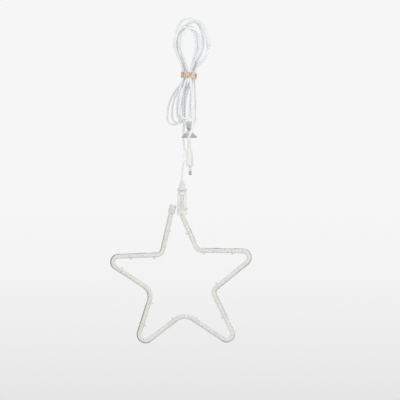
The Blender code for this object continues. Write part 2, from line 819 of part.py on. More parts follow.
def hank_points():
    """The whole hank as one line: up the left, over the crown, down the right, round the foot."""
    line = []
    lead_in = (LEAD_START_X, -HANK_END_DROP)
    for loop in range(LOOP_COUNT):
        left, right, top, left_belly, right_belly = crown_of(loop)
        left_waist = (-between(LEFT_WAIST_NEAR, LEFT_WAIST_FAR, pick(left_waist_shares, loop)), -WAIST_DROP)
        right_waist = (between(RIGHT_WAIST_NEAR, RIGHT_WAIST_FAR, pick(right_waist_shares, loop)), -WAIST_DROP)
        if loop == 0:
            straight = (lead_in[0], lead_in[1] + CORD_DIAMETER)
            line += layered([lead_in, straight], loop, False)
            lead_in = straight
        rising = lower_run(left_waist, lead_in)[::-1] + [left_waist]
        rising += upper_run(left_waist, (left, left_belly))
        line += layered(rising, loop, False)
        line += layered(crown_points(left, right, top, left_belly, right_belly), loop, False)
        falling = upper_run(right_waist, (right, right_belly)) + [right_waist]
        if loop == LOOP_COUNT - 1:
            straight = (TAIL_START_X, -HANK_END_DROP + CORD_DIAMETER)
            falling += lower_run(right_waist, straight) + [straight, (TAIL_START_X, -HANK_END_DROP)]
            line += layered(falling, loop, True)
            break
        across, low = foot_of(loop)
        side_height = low + FOLD_RADIUS
        falling += lower_run(right_waist, (across + FOLD_RADIUS, side_height))
        line += layered(falling, loop, True)
        line += layered(fold_points(across, side_height), loop + 1, False)
        lead_in = (across - FOLD_RADIUS, side_height)
    return line


def least_gap(points, diameter, skip):
    """Least clear distance of a tube to itself, measured between finely divided points."""
    coarse = np.array(points)
    shares = np.linspace(0, 1, 6)[:-1]
    fine = np.concatenate([coarse[:-1, None] + (coarse[1:] - coarse[:-1])[:, None] * shares[None, :, None]])
    fine = fine.reshape(-1, 3)
    steps = np.linalg.norm(np.diff(fine, axis=0), axis=1)
    run = np.concatenate([[0], np.cumsum(steps)])
    apart = np.abs(run[:, None] - run[None, :]) > skip
    distance = np.linalg.norm(fine[:, None] - fine[None, :], axis=2)
    return distance[apart].min() - diameter


def smooth_route(start, start_way, route, end, end_way):
    """Straight for one diameter at each end, and a smooth curve at even steps between."""
    start, end = Vector(start), Vector(end)
    keys = [start, start + start_way * CORD_DIAMETER]
    keys += [Vector(point) for point in route]
    keys += [end - end_way * CORD_DIAMETER, end]
    dense = []
    for a, b, c, d in zip(keys, keys[1:], keys[2:], keys[3:]):
        for part in range(16):
            t = part / 16
            dense.append(0.5 * (2 * b + (c - a) * t + (2 * a - 5 * b + 4 * c - d) * t ** 2
                                + (3 * b - a - 3 * c + d) * t ** 3))
    dense.append(keys[-2])
    run = [0.0]
    for a, b in zip(dense, dense[1:]):
        run.append(run[-1] + (b - a).length)
    marks = np.linspace(0, run[-1], round(run[-1] / ROUTE_STEP) + 1)
    table = np.array([tuple(point) for point in dense])
    curve = [tuple(np.interp(mark, run, table[:, axis]) for axis in range(3)) for mark in marks]
    return [tuple(start)] + curve + [tuple(end)]


def add_cords(material):
    """The hank and the two free stretches of cord."""
    hank = hank_points()
    add_object("cord_hank", tube_curve("cord_hank", hank, CORD_DIAMETER, 1), material)
    down = Vector((0, 0, -1))
    for name, hank_end, route, end, end_way in (
        ("cord_lead", hank[0], LEAD_ROUTE, LEAD_END, down),
        ("cord_tail", hank[-1], TAIL_ROUTE, TAIL_END, plug_way()),
    ):
        points = smooth_route(Vector(hank_end) + down * SEAT_GAP, down, route, end, end_way)
        add_object(name, tube_curve(name, points, CORD_DIAMETER, 2), material)
    gap = least_gap(hank, CORD_DIAMETER, FOLD_RADIUS * 2)
    print(f"least gap of the hank to itself: {gap * 1000:.2f} mm")


# Twist tie

def twist_half_sizes():
    """Middle, half width and half depth of the ring, drawn round the strands where it passes them."""
    reach = CORD_DIAMETER / 2 + TWIST_CLEARANCE + TWIST_THICKNESS / 2
    band = TWIST_PITCH * TWIST_TURNS / 2 + TWIST_WIDTH / 2 + LEFT_WAIST_FAR * TWIST_SLANT
    sides = []
    line = hank_points()
    for a, b in zip(line, line[1:]):
        for share in (0.0, 0.25, 0.5, 0.75):
            if abs(between(a[2], b[2], share) + WAIST_DROP) < band:
                sides.append(between(a[0], b[0], share))
    middle = (max(sides) + min(sides)) / 2
    wide = (max(sides) - min(sides)) / 2 + reach
    deep = LOOP_COUNT * LOOP_STEP / 2 + reach
    return middle, wide, deep


def oval_point(wide, deep, angle):
    """Point and outward direction on a squarish oval."""
    power = 2 / TWIST_SQUARENESS
    c, s = math.cos(angle), math.sin(angle)
    x = math.copysign(abs(c) ** power, c) * wide
    y = math.copysign(abs(s) ** power, s) * deep
    out = Vector((math.copysign(abs(c) ** (2 - power), c) / wide, math.copysign(abs(s) ** (2 - power), s) / deep, 0))
    return Vector((x, y, 0)), out.normalized()


def ribbon_ring(point, thick_way, wide_way):
    """The four corners of the foil strip's section."""
    a = thick_way * TWIST_THICKNESS / 2
    b = wide_way * TWIST_WIDTH / 2
    return [point - a - b, point + a - b, point + a + b, point - a + b]


def twist_tail(side, foot_y, steps=12):
    """One of the two strips of the twisted tail, from its bend outwards."""
    offset = TWIST_THICKNESS / 2 + SEAT_GAP / 2
    rings = []
    for step in range(steps + 1):
        share = step / steps
        angle = TWIST_TAIL_TURN * share
        across = Vector((math.cos(angle), 0, math.sin(angle)))
        along = Vector((-math.sin(angle), 0, math.cos(angle)))
        middle = Vector((0, foot_y + TWIST_TAIL * share, 0))
        rings.append(ribbon_ring(middle + across * offset * side, across * side, along))
    return rings


def add_twist_tie(material):
    """A foil strip wound round the waist, its two ends twisted together at the back."""
    middle, wide, deep = twist_half_sizes()
    rings = []
    steps = 24 * TWIST_TURNS
    lift = TWIST_THICKNESS + SEAT_GAP
    for step in range(steps + 1):
        turn = between(twist_end_share, TWIST_TURNS - twist_end_share, step / steps)
        from_middle = abs(turn - TWIST_TURNS / 2) / (TWIST_TURNS / 2)
        raised = eased_between(twist_step_shares, from_middle)
        levelled = eased_between(twist_level_shares, from_middle)
        point, out = oval_point(wide, deep, math.pi / 2 + math.tau * turn)
        height = (turn - TWIST_TURNS / 2) * TWIST_PITCH * (1 - levelled)
        slant = -point.x * TWIST_SLANT
        place = point + out * lift * raised + Vector((0, 0, height + slant))
        rings.append(ribbon_ring(place, out, Vector((0, 0, 1))))
    foot_y = deep + lift + TWIST_BEND
    first = twist_tail(-1, foot_y)
    last = twist_tail(1, foot_y)
    mesh = skin_mesh("twist_tie", first[::-1] + rings + last)
    add_object("twist_tie", mesh, material, None, Matrix.Translation((middle, 0, -WAIST_DROP)))


# Plug

def squircle(half_width, half_thickness, power, height, sides=ROUND_SIDES):
    """A ring between an ellipse and a rectangle; power 2 is the ellipse."""
    ring = []
    for side in range(sides):
        angle = math.tau * (side + 0.5) / sides
        c, s = math.cos(angle), math.sin(angle)
        ring.append((math.copysign(abs(c) ** (2 / power), c) * half_width,
                     math.copysign(abs(s) ** (2 / power), s) * half_thickness, height))
    return ring


def plug_way():
    """The way the plug points."""
    return Vector((math.sin(PLUG_LEAN), 0, -math.cos(PLUG_LEAN)))


def plug_place():
    """The end of the cord's tail, turned to the plug's lean and nearly edge-on."""
    lean = Matrix.Rotation(-PLUG_LEAN, 4, "Y")
    return Matrix.Translation(TAIL_END) @ lean @ Matrix.Rotation(PLUG_TURN, 4, "Z")


def add_plug(plug, body_material, metal):
    """Moulded body with its strain relief, and two sleeved pins."""
    top = -SEAT_GAP - PLUG_RELIEF_LENGTH
    relief = ribbed(PLUG_RELIEF_ROOT, PLUG_RELIEF_TIP, PLUG_RELIEF_LENGTH, PLUG_RELIEF_RIBS, PLUG_RELIEF_GROOVE)
    relief.append((PLUG_RELIEF_TIP, PLUG_RELIEF_LENGTH))
    rings = [squircle(radius, radius, 2, top + height) for radius, height in reversed(relief)]
    for along, wide, thick, power in plug_body_shares:
        rings.append(squircle(PLUG_WIDTH / 2 * wide, PLUG_THICKNESS / 2 * thick, power,
                              top - SEAT_GAP - PLUG_BODY_LENGTH * along))
    add_object("plug_body", skin_mesh("plug_body", rings), body_material, plug)
    face = top - SEAT_GAP - PLUG_BODY_LENGTH
    radius = PLUG_PIN_DIAMETER / 2
    shank = PLUG_SHANK_DIAMETER / 2
    tip = (
        (0, -SEAT_GAP),
        (shank, -SEAT_GAP),
        (shank, -PLUG_SLEEVE_LENGTH - SEAT_GAP * 2),
        (radius, -PLUG_SLEEVE_LENGTH - SEAT_GAP * 2),
        (radius, -PLUG_PIN_LENGTH + radius / 2),
        (radius / 2, -PLUG_PIN_LENGTH),
        (0, -PLUG_PIN_LENGTH),
    )
    sleeve_bore = flat_radius(shank + SEAT_GAP, FOLLOWER_SIDES)
    sleeve = (
        (sleeve_bore, -PLUG_SLEEVE_LENGTH - SEAT_GAP),
        (PLUG_SLEEVE_DIAMETER / 2, -PLUG_SLEEVE_LENGTH - SEAT_GAP),
        (PLUG_SLEEVE_DIAMETER / 2, -SEAT_GAP),
        (sleeve_bore, -SEAT_GAP),
    )
    for name, side in (("front", -1), ("back", 1)):
        place = Matrix.Translation((side * PLUG_PIN_SPACING / 2, 0, face))
        place = place @ Matrix.Rotation(side * PLUG_PIN_TOE_IN, 4, "Y")
        add_object(f"plug_pin_{name}", turned_mesh("plug_pin", tip, FOLLOWER_SIDES), metal, plug, place)
        add_object(f"pin_sleeve_{name}", turned_mesh("pin_sleeve", sleeve, FOLLOWER_SIDES, closed=True),
                   body_material, plug, place)


# Suction cup

def cup_loop():
    """The loop that carries the cup, whose foot hangs lowest."""
    return min(range(LOOP_COUNT - 1), key=lambda loop: pick(foot_rise_shares, loop))


def cord_sag():
    """How much the cord's fold rises from the middle of the cup's head to its side."""
    return CUP_HEAD_RADIUS ** 2 / (2 * FOLD_RADIUS)


def cup_axis():
    """Middle of the cup's hole: the foot of its loop, half the cord's sag higher."""
    loop = cup_loop()
    across, low = foot_of(loop)
    return Vector((across, plane_y(loop + 1), low + cord_sag() / 2))


def add_suction_cup(material):
    """A thin cup under a neck and a round head; a snap-in hole crosses the head."""
    head_top = CUP_HOLE_DEPTH
    head_bottom = head_top - CUP_HEAD_LENGTH
    dome_top = head_bottom - CUP_NECK_LENGTH
    rim = dome_top - CUP_DOME_HEIGHT
    inner = CUP_RADIUS - CUP_RIM_WIDTH
    hollow = CUP_DOME_HEIGHT - CUP_WALL
    profile = [(inner * across, rim + hollow * up) for across, up in cup_hollow_shares]
    profile += [(inner, rim), (CUP_RADIUS, rim), (CUP_RADIUS, rim + CUP_RIM_HEIGHT)]
    profile += [(between(CUP_NECK_RADIUS, CUP_RADIUS, across), between(rim, dome_top, up))
                for across, up in cup_dome_shares]
    profile += [
        (CUP_NECK_RADIUS, dome_top),
        (CUP_NECK_RADIUS, head_bottom),
        (CUP_HEAD_RADIUS - CUP_HEAD_ROUND, head_bottom + CUP_HEAD_ROUND / 2),
        (CUP_HEAD_RADIUS, head_bottom + CUP_HEAD_ROUND * 2),
        (CUP_HEAD_RADIUS, head_top - CUP_HEAD_ROUND),
        (CUP_HEAD_RADIUS - CUP_HEAD_ROUND, head_top),
        (0, head_top),
    ]
    cup = turned_mesh("suction_cup", profile, 24)
    sideways = Matrix.Rotation(math.pi / 2, 4, "Y")
    hole_radius = CORD_DIAMETER / 2 + cord_sag() / 2 + CUP_HOLE_CLEARANCE
    hole = rod_mesh("hole", flat_radius(hole_radius, 16), CUP_HEAD_RADIUS * 2 + CUT_OVERRUN * 2, sideways, 16)
    cup = join_solids(cup, hole, "DIFFERENCE")
    reach = CUP_HEAD_RADIUS + CUT_OVERRUN
    slit = box_mesh("slit", (-reach, -CUP_SLIT / 2, 0), (reach, CUP_SLIT / 2, head_top + CUT_OVERRUN))
    cup = join_solids(cup, slit, "DIFFERENCE")
    add_object("suction_cup", cup, material, None, Matrix.Translation(cup_axis()))


def build():
    """Makes every piece of the star."""
    clear_scene()
    clear = make_material("clear_pvc", (0.90, 0.93, 0.88), 0.12, alpha=0.45)
    cup_clear = make_material("cup_pvc", (0.80, 0.86, 0.82), 0.10, alpha=0.45)
    white = make_material("white_pvc", (0.86, 0.87, 0.90), 0.40)
    plug_white = make_material("plug_pvc", (0.88, 0.90, 0.86), 0.35)
    steel = make_material("steel_wire", (0.48, 0.48, 0.47), 0.35, 0.9)
    tinned = make_material("tinned_copper", (0.62, 0.60, 0.56), 0.35, 0.9)
    lamp = make_material("led_lens", (0.92, 0.93, 0.80), 0.20)
    nickel = make_material("nickel", (0.60, 0.58, 0.54), 0.25, 1.0)
    foil = make_material("gold_foil", (0.85, 0.56, 0.22), 0.30, 0.8)

    mouth = mouth_place()
    connector_top = Vector(LEAD_END) - Vector((0, 0, SEAT_GAP))
    star_origin = connector_top - Vector((mouth.x, 0, mouth.y + connector_height()))
    star = add_frame("star_middle", Matrix.Translation(star_origin))
    add_rope_jacket(star, clear)
    add_led_string(star, lamp)
    add_bus_wires(star, tinned)
    add_star_wire(star, steel)
    add_rope_ties(star, clear)
    add_end_cap(star, clear)
    add_end_tie(star, clear)
    connector = add_frame("connector_mouth", Matrix.Translation((mouth.x, 0, mouth.y)), star)
    add_connector(connector, clear, white, nickel)
    add_cords(white)
    add_twist_tie(foil)
    plug = add_frame("plug_tip", plug_place())
    add_plug(plug, plug_white, nickel)
    add_suction_cup(cup_clear)


build()
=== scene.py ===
"""Christmas star of clear rope light on a bent wire, hanging from the hank of its own white cord."""

import math

import bmesh
import bpy
import numpy as np
from mathutils import Matrix, Vector


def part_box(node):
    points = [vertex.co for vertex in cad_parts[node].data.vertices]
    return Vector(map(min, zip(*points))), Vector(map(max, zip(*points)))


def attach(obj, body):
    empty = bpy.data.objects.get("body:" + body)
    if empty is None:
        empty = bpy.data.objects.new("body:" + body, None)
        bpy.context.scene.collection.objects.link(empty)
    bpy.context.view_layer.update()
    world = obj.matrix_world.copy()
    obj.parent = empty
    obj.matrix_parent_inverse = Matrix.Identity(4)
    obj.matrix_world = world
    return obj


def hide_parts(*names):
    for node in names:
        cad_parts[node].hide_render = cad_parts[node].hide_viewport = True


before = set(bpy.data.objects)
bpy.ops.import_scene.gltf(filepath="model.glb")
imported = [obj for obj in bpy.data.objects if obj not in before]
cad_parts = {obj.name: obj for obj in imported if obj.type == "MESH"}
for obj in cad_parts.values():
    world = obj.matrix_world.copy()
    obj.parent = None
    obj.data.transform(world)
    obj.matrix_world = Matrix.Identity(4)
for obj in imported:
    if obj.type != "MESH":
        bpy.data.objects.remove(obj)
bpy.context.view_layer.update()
BODY = "hanging_star"
CUP_BODY = "suction_cup"

# Sizes of the model, in metres
GAP = 0.0003
SNUG_GAP = GAP * 0.7

# Rope light and wire
STAR_SPAN = 0.302
TIP_BEND = 0.0125
VALLEY_BEND = 0.0150
MOUTH_BEND = 0.0180
ARC_STEP = 0.09
ROPE_END_SHARE = 0.855
MOUTH_HEIGHT_SHARE = 0.437
ROPE_RADIUS = 0.0045
BORE_RADIUS = 0.0032
BUS_RADIUS = 0.00065
LAMP_INSET = 0.0120
LAMP_PITCH = 0.0295
LINK_RADIUS = 0.00022
LINK_CLOSE = 0.00025
LINK_SPREAD = 0.00045
WIRE_RADIUS = 0.0011
WIRE_SETBACK = math.radians(30)
WIRE_STOP = 0.0020

# Ties
TIE_WIDTH = 0.0025
TIE_THICKNESS = 0.0010
LOCK_HEIGHT = 0.0032
LOCK_HALF_LENGTH = 0.0025
LOCK_HALF_WIDTH = 0.0022
TAIL_FOOT = 0.0010
TAIL_LENGTH = 0.0030
TAIL_HALF_THICKNESS = 0.0004

# Cap and connector
CAP_RADIUS = 0.00745
CAP_LENGTH = 0.0172
CAP_TOP = 0.0026
SLEEVE_LENGTH = 0.0530
SLEEVE_TOP_RADIUS = 0.0097
SLEEVE_MOUTH_RADIUS = 0.0110
SLEEVE_WALL = 0.0016
SLEEVE_LIP = 0.0030
ROPE_GRIP_DEPTH = 0.0300
MOUTH_DROP = 0.0021
GLAND_LOW = 0.0040
GLAND_TOP = 0.0140
SPIGOT_LENGTH = 0.0025
BLOCK_HEIGHT = 0.0070
CONTACT_RADIUS = 0.0008
COLLAR_RADIUS = 0.01065
COLLAR_HEIGHT = 0.0042
RELIEF_LENGTH = 0.0172
RIB_PITCH = 0.0039
GRIP_RIBS = 4

# Cord, its hank and the foil strip round the hank
CORD_RADIUS = 0.00225
LOOP_COUNT = 6
LOOP_STEP = 0.0052
FOLD_RADIUS = 0.0135
CROWN_HEIGHT = 0.0277
BELLY_DROP = 0.0300
WAIST_DROP = 0.0965
HANK_END_DROP = 0.1875
FAN_POWER = 2.6
FAN_SOFTNESS = 1.6
LEAD_X = -0.0138
TAIL_X = 0.0050
STRIP_THICKNESS = 0.0009
STRIP_WIDTH = 0.0044
STRIP_PITCH = 0.0050
STRIP_SLANT = math.tan(math.radians(10))
STRIP_SQUARENESS = 2.8
TWIST_LENGTH = 0.0220
TWIST_BEND = 0.0030
TWIST_OVERLAP = 0.0026
TWIST_TURN = math.radians(540)

# Plug
PLUG_LEAN = math.radians(2.5)
PLUG_TURN = math.radians(84)
PLUG_RELIEF_LENGTH = 0.0200
PLUG_RIBS = 5
PLUG_LENGTH = 0.0360
PLUG_WIDTH = 0.0353
PLUG_THICKNESS = 0.0137
PLUG_SIDES = 64
FACE_SQUARENESS = 3.8
PIN_OFFSET = 0.0093
PIN_TOE_IN = math.radians(1.6)

# Suction cup
CUP_LOOP = 2
CUP_HEAD_TOP = 0.0083
CUP_HEAD_LENGTH = 0.0172
CUP_HEAD_RADIUS = 0.0064
CUP_NECK_LENGTH = 0.0035
CUP_NECK_RADIUS = 0.0042
CUP_DOME_HEIGHT = 0.0145
CUP_RADIUS = 0.0175
CUP_HOLE_RADIUS = 0.0036
SLIT_HALF_WIDTH = 0.0013
SLIT_TOP = 0.0105
CUTTER_REACH = 0.0090


# Numbers and colours in shader trees

class Value:
    """A socket of a shader tree; sums, differences and products with it add Math nodes."""

    def __init__(self, shading, socket):
        self.shading = shading
        self.socket = socket

    def math(self, operation, other):
        return self.shading.node("Math", 0, {"operation": operation}, i0=self, i1=other)

    def __add__(self, other):
        return self.math("ADD", other)

    __radd__ = __add__

    def __mul__(self, other):
        return self.math("MULTIPLY", other)

    __rmul__ = __mul__

    def __sub__(self, other):
        return self.math("SUBTRACT", other)

    def __rsub__(self, other):
        return self * -1 + other

    def clamped(self):
        return self.shading.node("Clamp", i0=self)


class Shading:
    """A shader tree whose nodes come from one method."""

    def __init__(self, tree):
        self.tree = tree

    def put(self, slot, value):
        """Links a wrapped socket, or sets a plain number or colour."""
        if isinstance(value, Value):
            self.tree.links.new(value.socket, slot)
        else:
            slot.default_value = value

    def node(self, kind, output=0, settings=None, **sockets):
        """A node with its settings, then the values or links of its sockets, by name or as i and a number."""
        made = self.tree.nodes.new("ShaderNode" + kind)
        for key, value in (settings or {}).items():
            setattr(made, key, value)
        for key, value in sockets.items():
            self.put(made.inputs[int(key[1:]) if key[1:].isdigit() else key], value)
        return Value(self, made.outputs[output])


class Finish(Shading):
    """A Principled material whose fixed numbers are set on its own sockets."""

    def __init__(self, name, colour, roughness, **fixed):
        self.material = bpy.data.materials.new(name)
        self.material.use_nodes = True
        super().__init__(self.material.node_tree)
        self.shader = self.tree.nodes["Principled BSDF"]
        self.material.diffuse_color = (*colour, 1)
        for socket, value in {"Base Color": (*colour, 1), "Roughness": roughness, **fixed}.items():
            self.feed(socket, value)

    def place(self):
        return self.node("TexCoord", "Object")

    def along(self, axis):
        return self.node("SeparateXYZ", axis, Vector=self.place())

    def stretched(self, scale):
        return self.node("Mapping", Vector=self.place(), Scale=scale)

    def noise(self, scale, detail=2.0, rough=0.5, at=None):
        return self.node("TexNoise", Vector=at or self.place(), Scale=scale, Detail=detail, Roughness=rough)

    def facing(self):
        """0 where the surface is seen squarely, 1 at its edge."""
        return self.node("LayerWeight", 1, Blend=0.5)

    def blend(self, share, low, high):
        low, high = (colour if isinstance(colour, Value) else (*colour, 1) for colour in (low, high))
        return self.node("Mix", 2, {"data_type": "RGBA"}, i0=share, i6=low, i7=high)

    def ranged(self, value, low, high, to_low=0.0, to_high=1.0):
        return self.node("MapRange", Value=value, i1=low, i2=high, i3=to_low, i4=to_high)

    def band(self, axis, rise, fall):
        """1 between two places along an axis, rising over the first span and falling over the second."""
        along = self.along(axis)
        return self.ranged(along, *rise) * self.ranged(along, *fall, 1.0, 0.0)

    def region(self, x_span, z_span, soft):
        """1 inside a box of x and z, fading to 0 over a soft edge."""
        across, height = (self.band(axis, (low - soft, low + soft), (high - soft, high + soft))
                          for axis, (low, high) in (("X", x_span), ("Z", z_span)))
        return across * height

    def feed(self, socket, value):
        self.put(self.shader.inputs[socket], value)
        return self

    def bump(self, height, strength, distance):
        return self.feed("Normal", self.node("Bump", Strength=strength, Distance=distance, Height=height))


# Places on the object where a finish changes, each a span of x and a span of z in metres

# Painted shade on the cord where its strands crowd: the two spans and its amount
cord_shade_places = (
    ((-0.054, -0.024), (-0.195, -0.125), 0.42),
    ((-0.020, 0.018), (-0.088, -0.058), 0.32),
)
# Painted highlight and painted shade in the cup: the two spans, the soft edge, the amount and the colour
cup_light_and_shade = (
    # Rows: painted shade on the head, deep painted shade at the neck's left, painted shade at its right, a
    # painted highlight round the shoulder, painted shade low on the left and on the right by the hollow
    ((-0.0120, 0.0060), (-0.2080, -0.1900), 0.0010, 0.55, (0.66, 0.69, 0.66)),
    ((-0.0120, -0.0005), (-0.2150, -0.2072), 0.0014, 0.72, (0.16, 0.16, 0.16)),
    ((0.0000, 0.0060), (-0.2150, -0.2075), 0.0010, 0.70, (0.56, 0.58, 0.56)),
    ((-0.0140, 0.0100), (-0.2205, -0.2165), 0.0010, 0.60, (0.93, 0.94, 0.93)),
    ((-0.0220, 0.0010), (-0.2330, -0.2222), 0.0012, 0.50, (0.40, 0.41, 0.40)),
    ((0.0030, 0.0190), (-0.2330, -0.2195), 0.0016, 0.70, (0.42, 0.43, 0.42)),
)
# Darker and paler stretches of the star's wire: the two spans and the colour
wire_places = (
    ((-0.180, -0.158), (-0.502, -0.465), (0.20, 0.20, 0.19)),
    ((-0.125, -0.088), (-0.680, -0.580), (0.24, 0.24, 0.23)),
    ((0.112, 0.140), (-0.520, -0.462), (0.46, 0.46, 0.44)),
    ((-0.175, -0.096), (-0.566, -0.510), (0.86, 0.86, 0.84)),
    ((-0.070, 0.066), (-0.670, -0.602), (0.84, 0.84, 0.82)),
)
# Yellowed stretches of the rope and the sleeve: low corner, high corner (x, z) and the colour
rope_tint = ((-0.0175, -0.412), (-0.0095, -0.360), (0.86, 0.87, 0.68))
sleeve_tint = ((-0.0175, -0.395), (-0.0085, -0.358), (0.94, 0.95, 0.78))


# Finishes

def cord_finish():
    """White cord plastic: cool mottling, specks of handling grime, painted shade at the places listed, satin
    sheen, drawn grain.
    """
    f = Finish("white_cord_pvc", (0.86, 0.865, 0.875), 0.38, IOR=1.5)
    mottle = f.noise(38.0)
    grime = f.noise(190.0, 3.0)
    tint = f.blend(f.ranged(mottle, 0.35, 0.65), (0.80, 0.811, 0.825), (0.908, 0.915, 0.922))
    for x_span, z_span, amount in cord_shade_places:
        # Painted shade where the strands crowd, stronger where the mottling runs high
        wear_and_shade = f.region(x_span, z_span, 0.008) * f.ranged(mottle, 0.35, 0.60, amount * 0.7, amount)
        tint = f.blend(wear_and_shade, tint, (0.58, 0.59, 0.61))
    f.feed("Base Color", f.blend(f.ranged(grime, 0.55, 0.80, 0.0, 0.30), tint, (0.68, 0.69, 0.71)))
    f.feed("Roughness", f.ranged(grime, 0.3, 0.7, 0.32, 0.46))
    grain = f.noise(900.0, at=f.stretched((1.0, 1.0, 0.06)))
    return f.bump(grain, 0.25, 0.00012).material


def clear_finish(name, colour, edge_shade_and_streaks, roughness, cover, ripple, tint=None):
    """Clear plastic: thin where seen squarely, denser and with painted grey shade towards its edges, tinted
    in one place.
    """
    thin, dense = cover
    ripple_strength, scale, depth = ripple
    f = Finish(name, colour, roughness, IOR=1.46)
    facing = f.facing()
    haze = f.noise(scale * 3)
    streak = f.noise(scale * 9, at=f.stretched((1.0, 1.0, 0.2)))
    # Painted grey shade towards the edges, standing in for the darkening that clear plastic shows there
    shade = f.blend(f.ranged(facing, 0.15, 0.75), colour, edge_shade_and_streaks)
    if tint:
        (left, low), (right, high), tint_colour = tint
        across = f.ranged(f.along("X"), left, right)
        inside = f.band("Z", (low - 0.004, low + 0.002), (high - 0.002, high + 0.003))
        shade = f.blend(across * inside * 0.8, shade, tint_colour)
    f.feed("Base Color", f.blend(f.ranged(streak, 0.55, 0.75, 0.0, 0.22), shade, edge_shade_and_streaks))
    f.feed("Alpha", (f.ranged(haze, 0.3, 0.75, thin, thin + 0.10) + facing * (dense - thin)).clamped())
    f.feed("Roughness", f.ranged(haze, 0.3, 0.8, roughness * 0.7, roughness * 1.8))
    return f.bump(f.noise(scale), ripple_strength, depth).material


def cup_finish():
    """Clear soft plastic: painted grey shade in head and neck and towards its edges, a painted highlight
    round the shoulder, painted shade low by the hollow.
    """
    f = Finish("clear_cup_pvc", (0.86, 0.87, 0.86), 0.08, IOR=1.46)
    facing = f.facing()
    clouds = f.noise(150.0, 3.0)
    # Painted grey shade towards the edges
    shade = f.blend(f.ranged(facing, 0.20, 0.80), (0.76, 0.78, 0.76), (0.30, 0.32, 0.31))
    dense = 0.0
    for x_span, z_span, soft, amount, colour in cup_light_and_shade:
        painted_spot = f.region(x_span, z_span, soft) * f.ranged(clouds, 0.30, 0.62, amount * 0.65, amount)
        shade = f.blend(painted_spot, shade, colour)
        dense = painted_spot * (0.9 - sum(colour) / 3) + dense
    f.feed("Base Color", shade)
    f.feed("Alpha", (f.ranged(clouds, 0.3, 0.7, 0.20, 0.34) + facing * 0.62 + dense).clamped())
    f.feed("Roughness", f.ranged(clouds, 0.3, 0.8, 0.04, 0.12))
    return f.bump(f.noise(90.0), 0.15, 0.0004).material


def moulded_finish(name, colour, roughness):
    """Opaque moulded plastic: small colour drift, fine skin texture."""
    f = Finish(name, colour, roughness, IOR=1.5)
    drift = f.noise(55.0, 3.0)
    f.feed("Base Color", f.blend(f.ranged(drift, 0.35, 0.7), colour, tuple(c * 0.93 for c in colour)))
    f.feed("Roughness", f.ranged(drift, 0.3, 0.7, roughness * 0.85, roughness * 1.2))
    return f.bump(f.noise(1400.0), 0.15, 0.00008).material


def drawn_wire_finish(name, dark, light, roughness, metallic=0.85, places=()):
    """Drawn metal wire: dull patches and fine scratches, made darker or paler at the places listed."""
    f = Finish(name, light, roughness, Metallic=metallic)
    patch = f.noise(28.0, 4.0)
    colour = f.blend(f.ranged(patch, 0.35, 0.62), dark, light)
    for x_span, z_span, shade in places:
        colour = f.blend(f.region(x_span, z_span, 0.006) * f.ranged(patch, 0.3, 0.7, 1.0, 0.7), colour, shade)
    f.feed("Base Color", colour)
    f.feed("Roughness", f.ranged(f.noise(800.0), 0.3, 0.7, roughness * 0.8, roughness * 1.3))
    return f.bump(f.noise(2500.0), 0.2, 0.00005).material


def plated_finish(name, bright, wear_and_shade):
    """Nickel plate with handling marks, where the plate has dulled through wear."""
    f = Finish(name, bright, 0.22, Metallic=1.0)
    marks = f.noise(420.0, 4.0)
    f.feed("Base Color", f.blend(f.ranged(marks, 0.45, 0.75), bright, wear_and_shade))
    return f.feed("Roughness", f.ranged(marks, 0.3, 0.8, 0.15, 0.42)).material


def foil_finish():
    """Gold foil on paper: crinkles from the winding, with painted brown shade in the folds and painted pale
    highlights on the crests.
    """
    f = Finish("gold_foil", (0.52, 0.37, 0.22), 0.34, Metallic=0.45)
    crinkle = f.noise(330.0, 4.0, 0.6)
    # The crinkle that raises the bump also paints shade in its hollows and highlights on its crests
    f.feed("Base Color", f.blend(f.ranged(crinkle, 0.40, 0.66), (0.44, 0.30, 0.17), (0.89, 0.73, 0.53)))
    f.feed("Roughness", f.ranged(crinkle, 0.3, 0.7, 0.50, 0.26))
    return f.bump(crinkle, 0.9, 0.0006).material


def lens_finish():
    """Pale straw lens of an unlit lamp, faintly clouded."""
    f = Finish("lamp_lens", (0.90, 0.91, 0.80), 0.15, IOR=1.5)
    cloud = f.ranged(f.noise(500.0, 3.0), 0.4, 0.6)
    return f.feed("Base Color", f.blend(cloud, (0.86, 0.88, 0.72), (0.94, 0.94, 0.86))).material


# Surfaces

def add_object(name, data):
    """An object with its data, in the scene."""
    made = bpy.data.objects.new(name, data)
    bpy.context.scene.collection.objects.link(made)
    return made


def mesh_piece(name, part, material, *nodes, body=BODY, smooth=35):
    """A piece with its place in its mesh, on its body and for its nodes, its faces turned outwards."""
    points, faces = part
    mesh = bpy.data.meshes.new(name)
    mesh.from_pydata(points.tolist(), [], faces)
    mesh.update()
    mesh.materials.append(material)
    piece = add_object(name, mesh)
    mesh.shade_smooth()
    mesh.set_sharp_from_angle(angle=math.radians(smooth))
    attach(piece, body)
    if nodes:
        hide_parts(*nodes)
    bm = bmesh.new()
    bm.from_mesh(mesh)
    bmesh.ops.remove_doubles(bm, verts=bm.verts, dist=0.000001)
    bmesh.ops.recalc_face_normals(bm, faces=bm.faces)
    bm.to_mesh(mesh)
    bm.free()
    return piece


def tube(grid, wrap=False):
    """Points and faces of a grid of rings; an open one is closed with a face at each end."""
    rows, columns = grid.shape[:2]
    r = np.arange(rows if wrap else rows - 1)[:, None]
    c = np.arange(columns)[None, :]
    ahead, beside = (r + 1) % rows, (c + 1) % columns
    quads = (r * columns + c, r * columns + beside, ahead * columns + beside, ahead * columns + c)
    faces = np.stack(quads, axis=-1).reshape(-1, 4).tolist()
    if not wrap:
        faces += [list(range(columns))[::-1], list(range((rows - 1) * columns, rows * columns))]
    return grid.reshape(-1, 3), faces


def joined(*parts):
    """Several point and face lists as one."""
    points, faces, start = [], [], 0
    for some_points, some_faces in parts:
        points.append(some_points)
        faces += [[i + start for i in face] for face in some_faces]
        start += len(some_points)
    return np.concatenate(points), faces


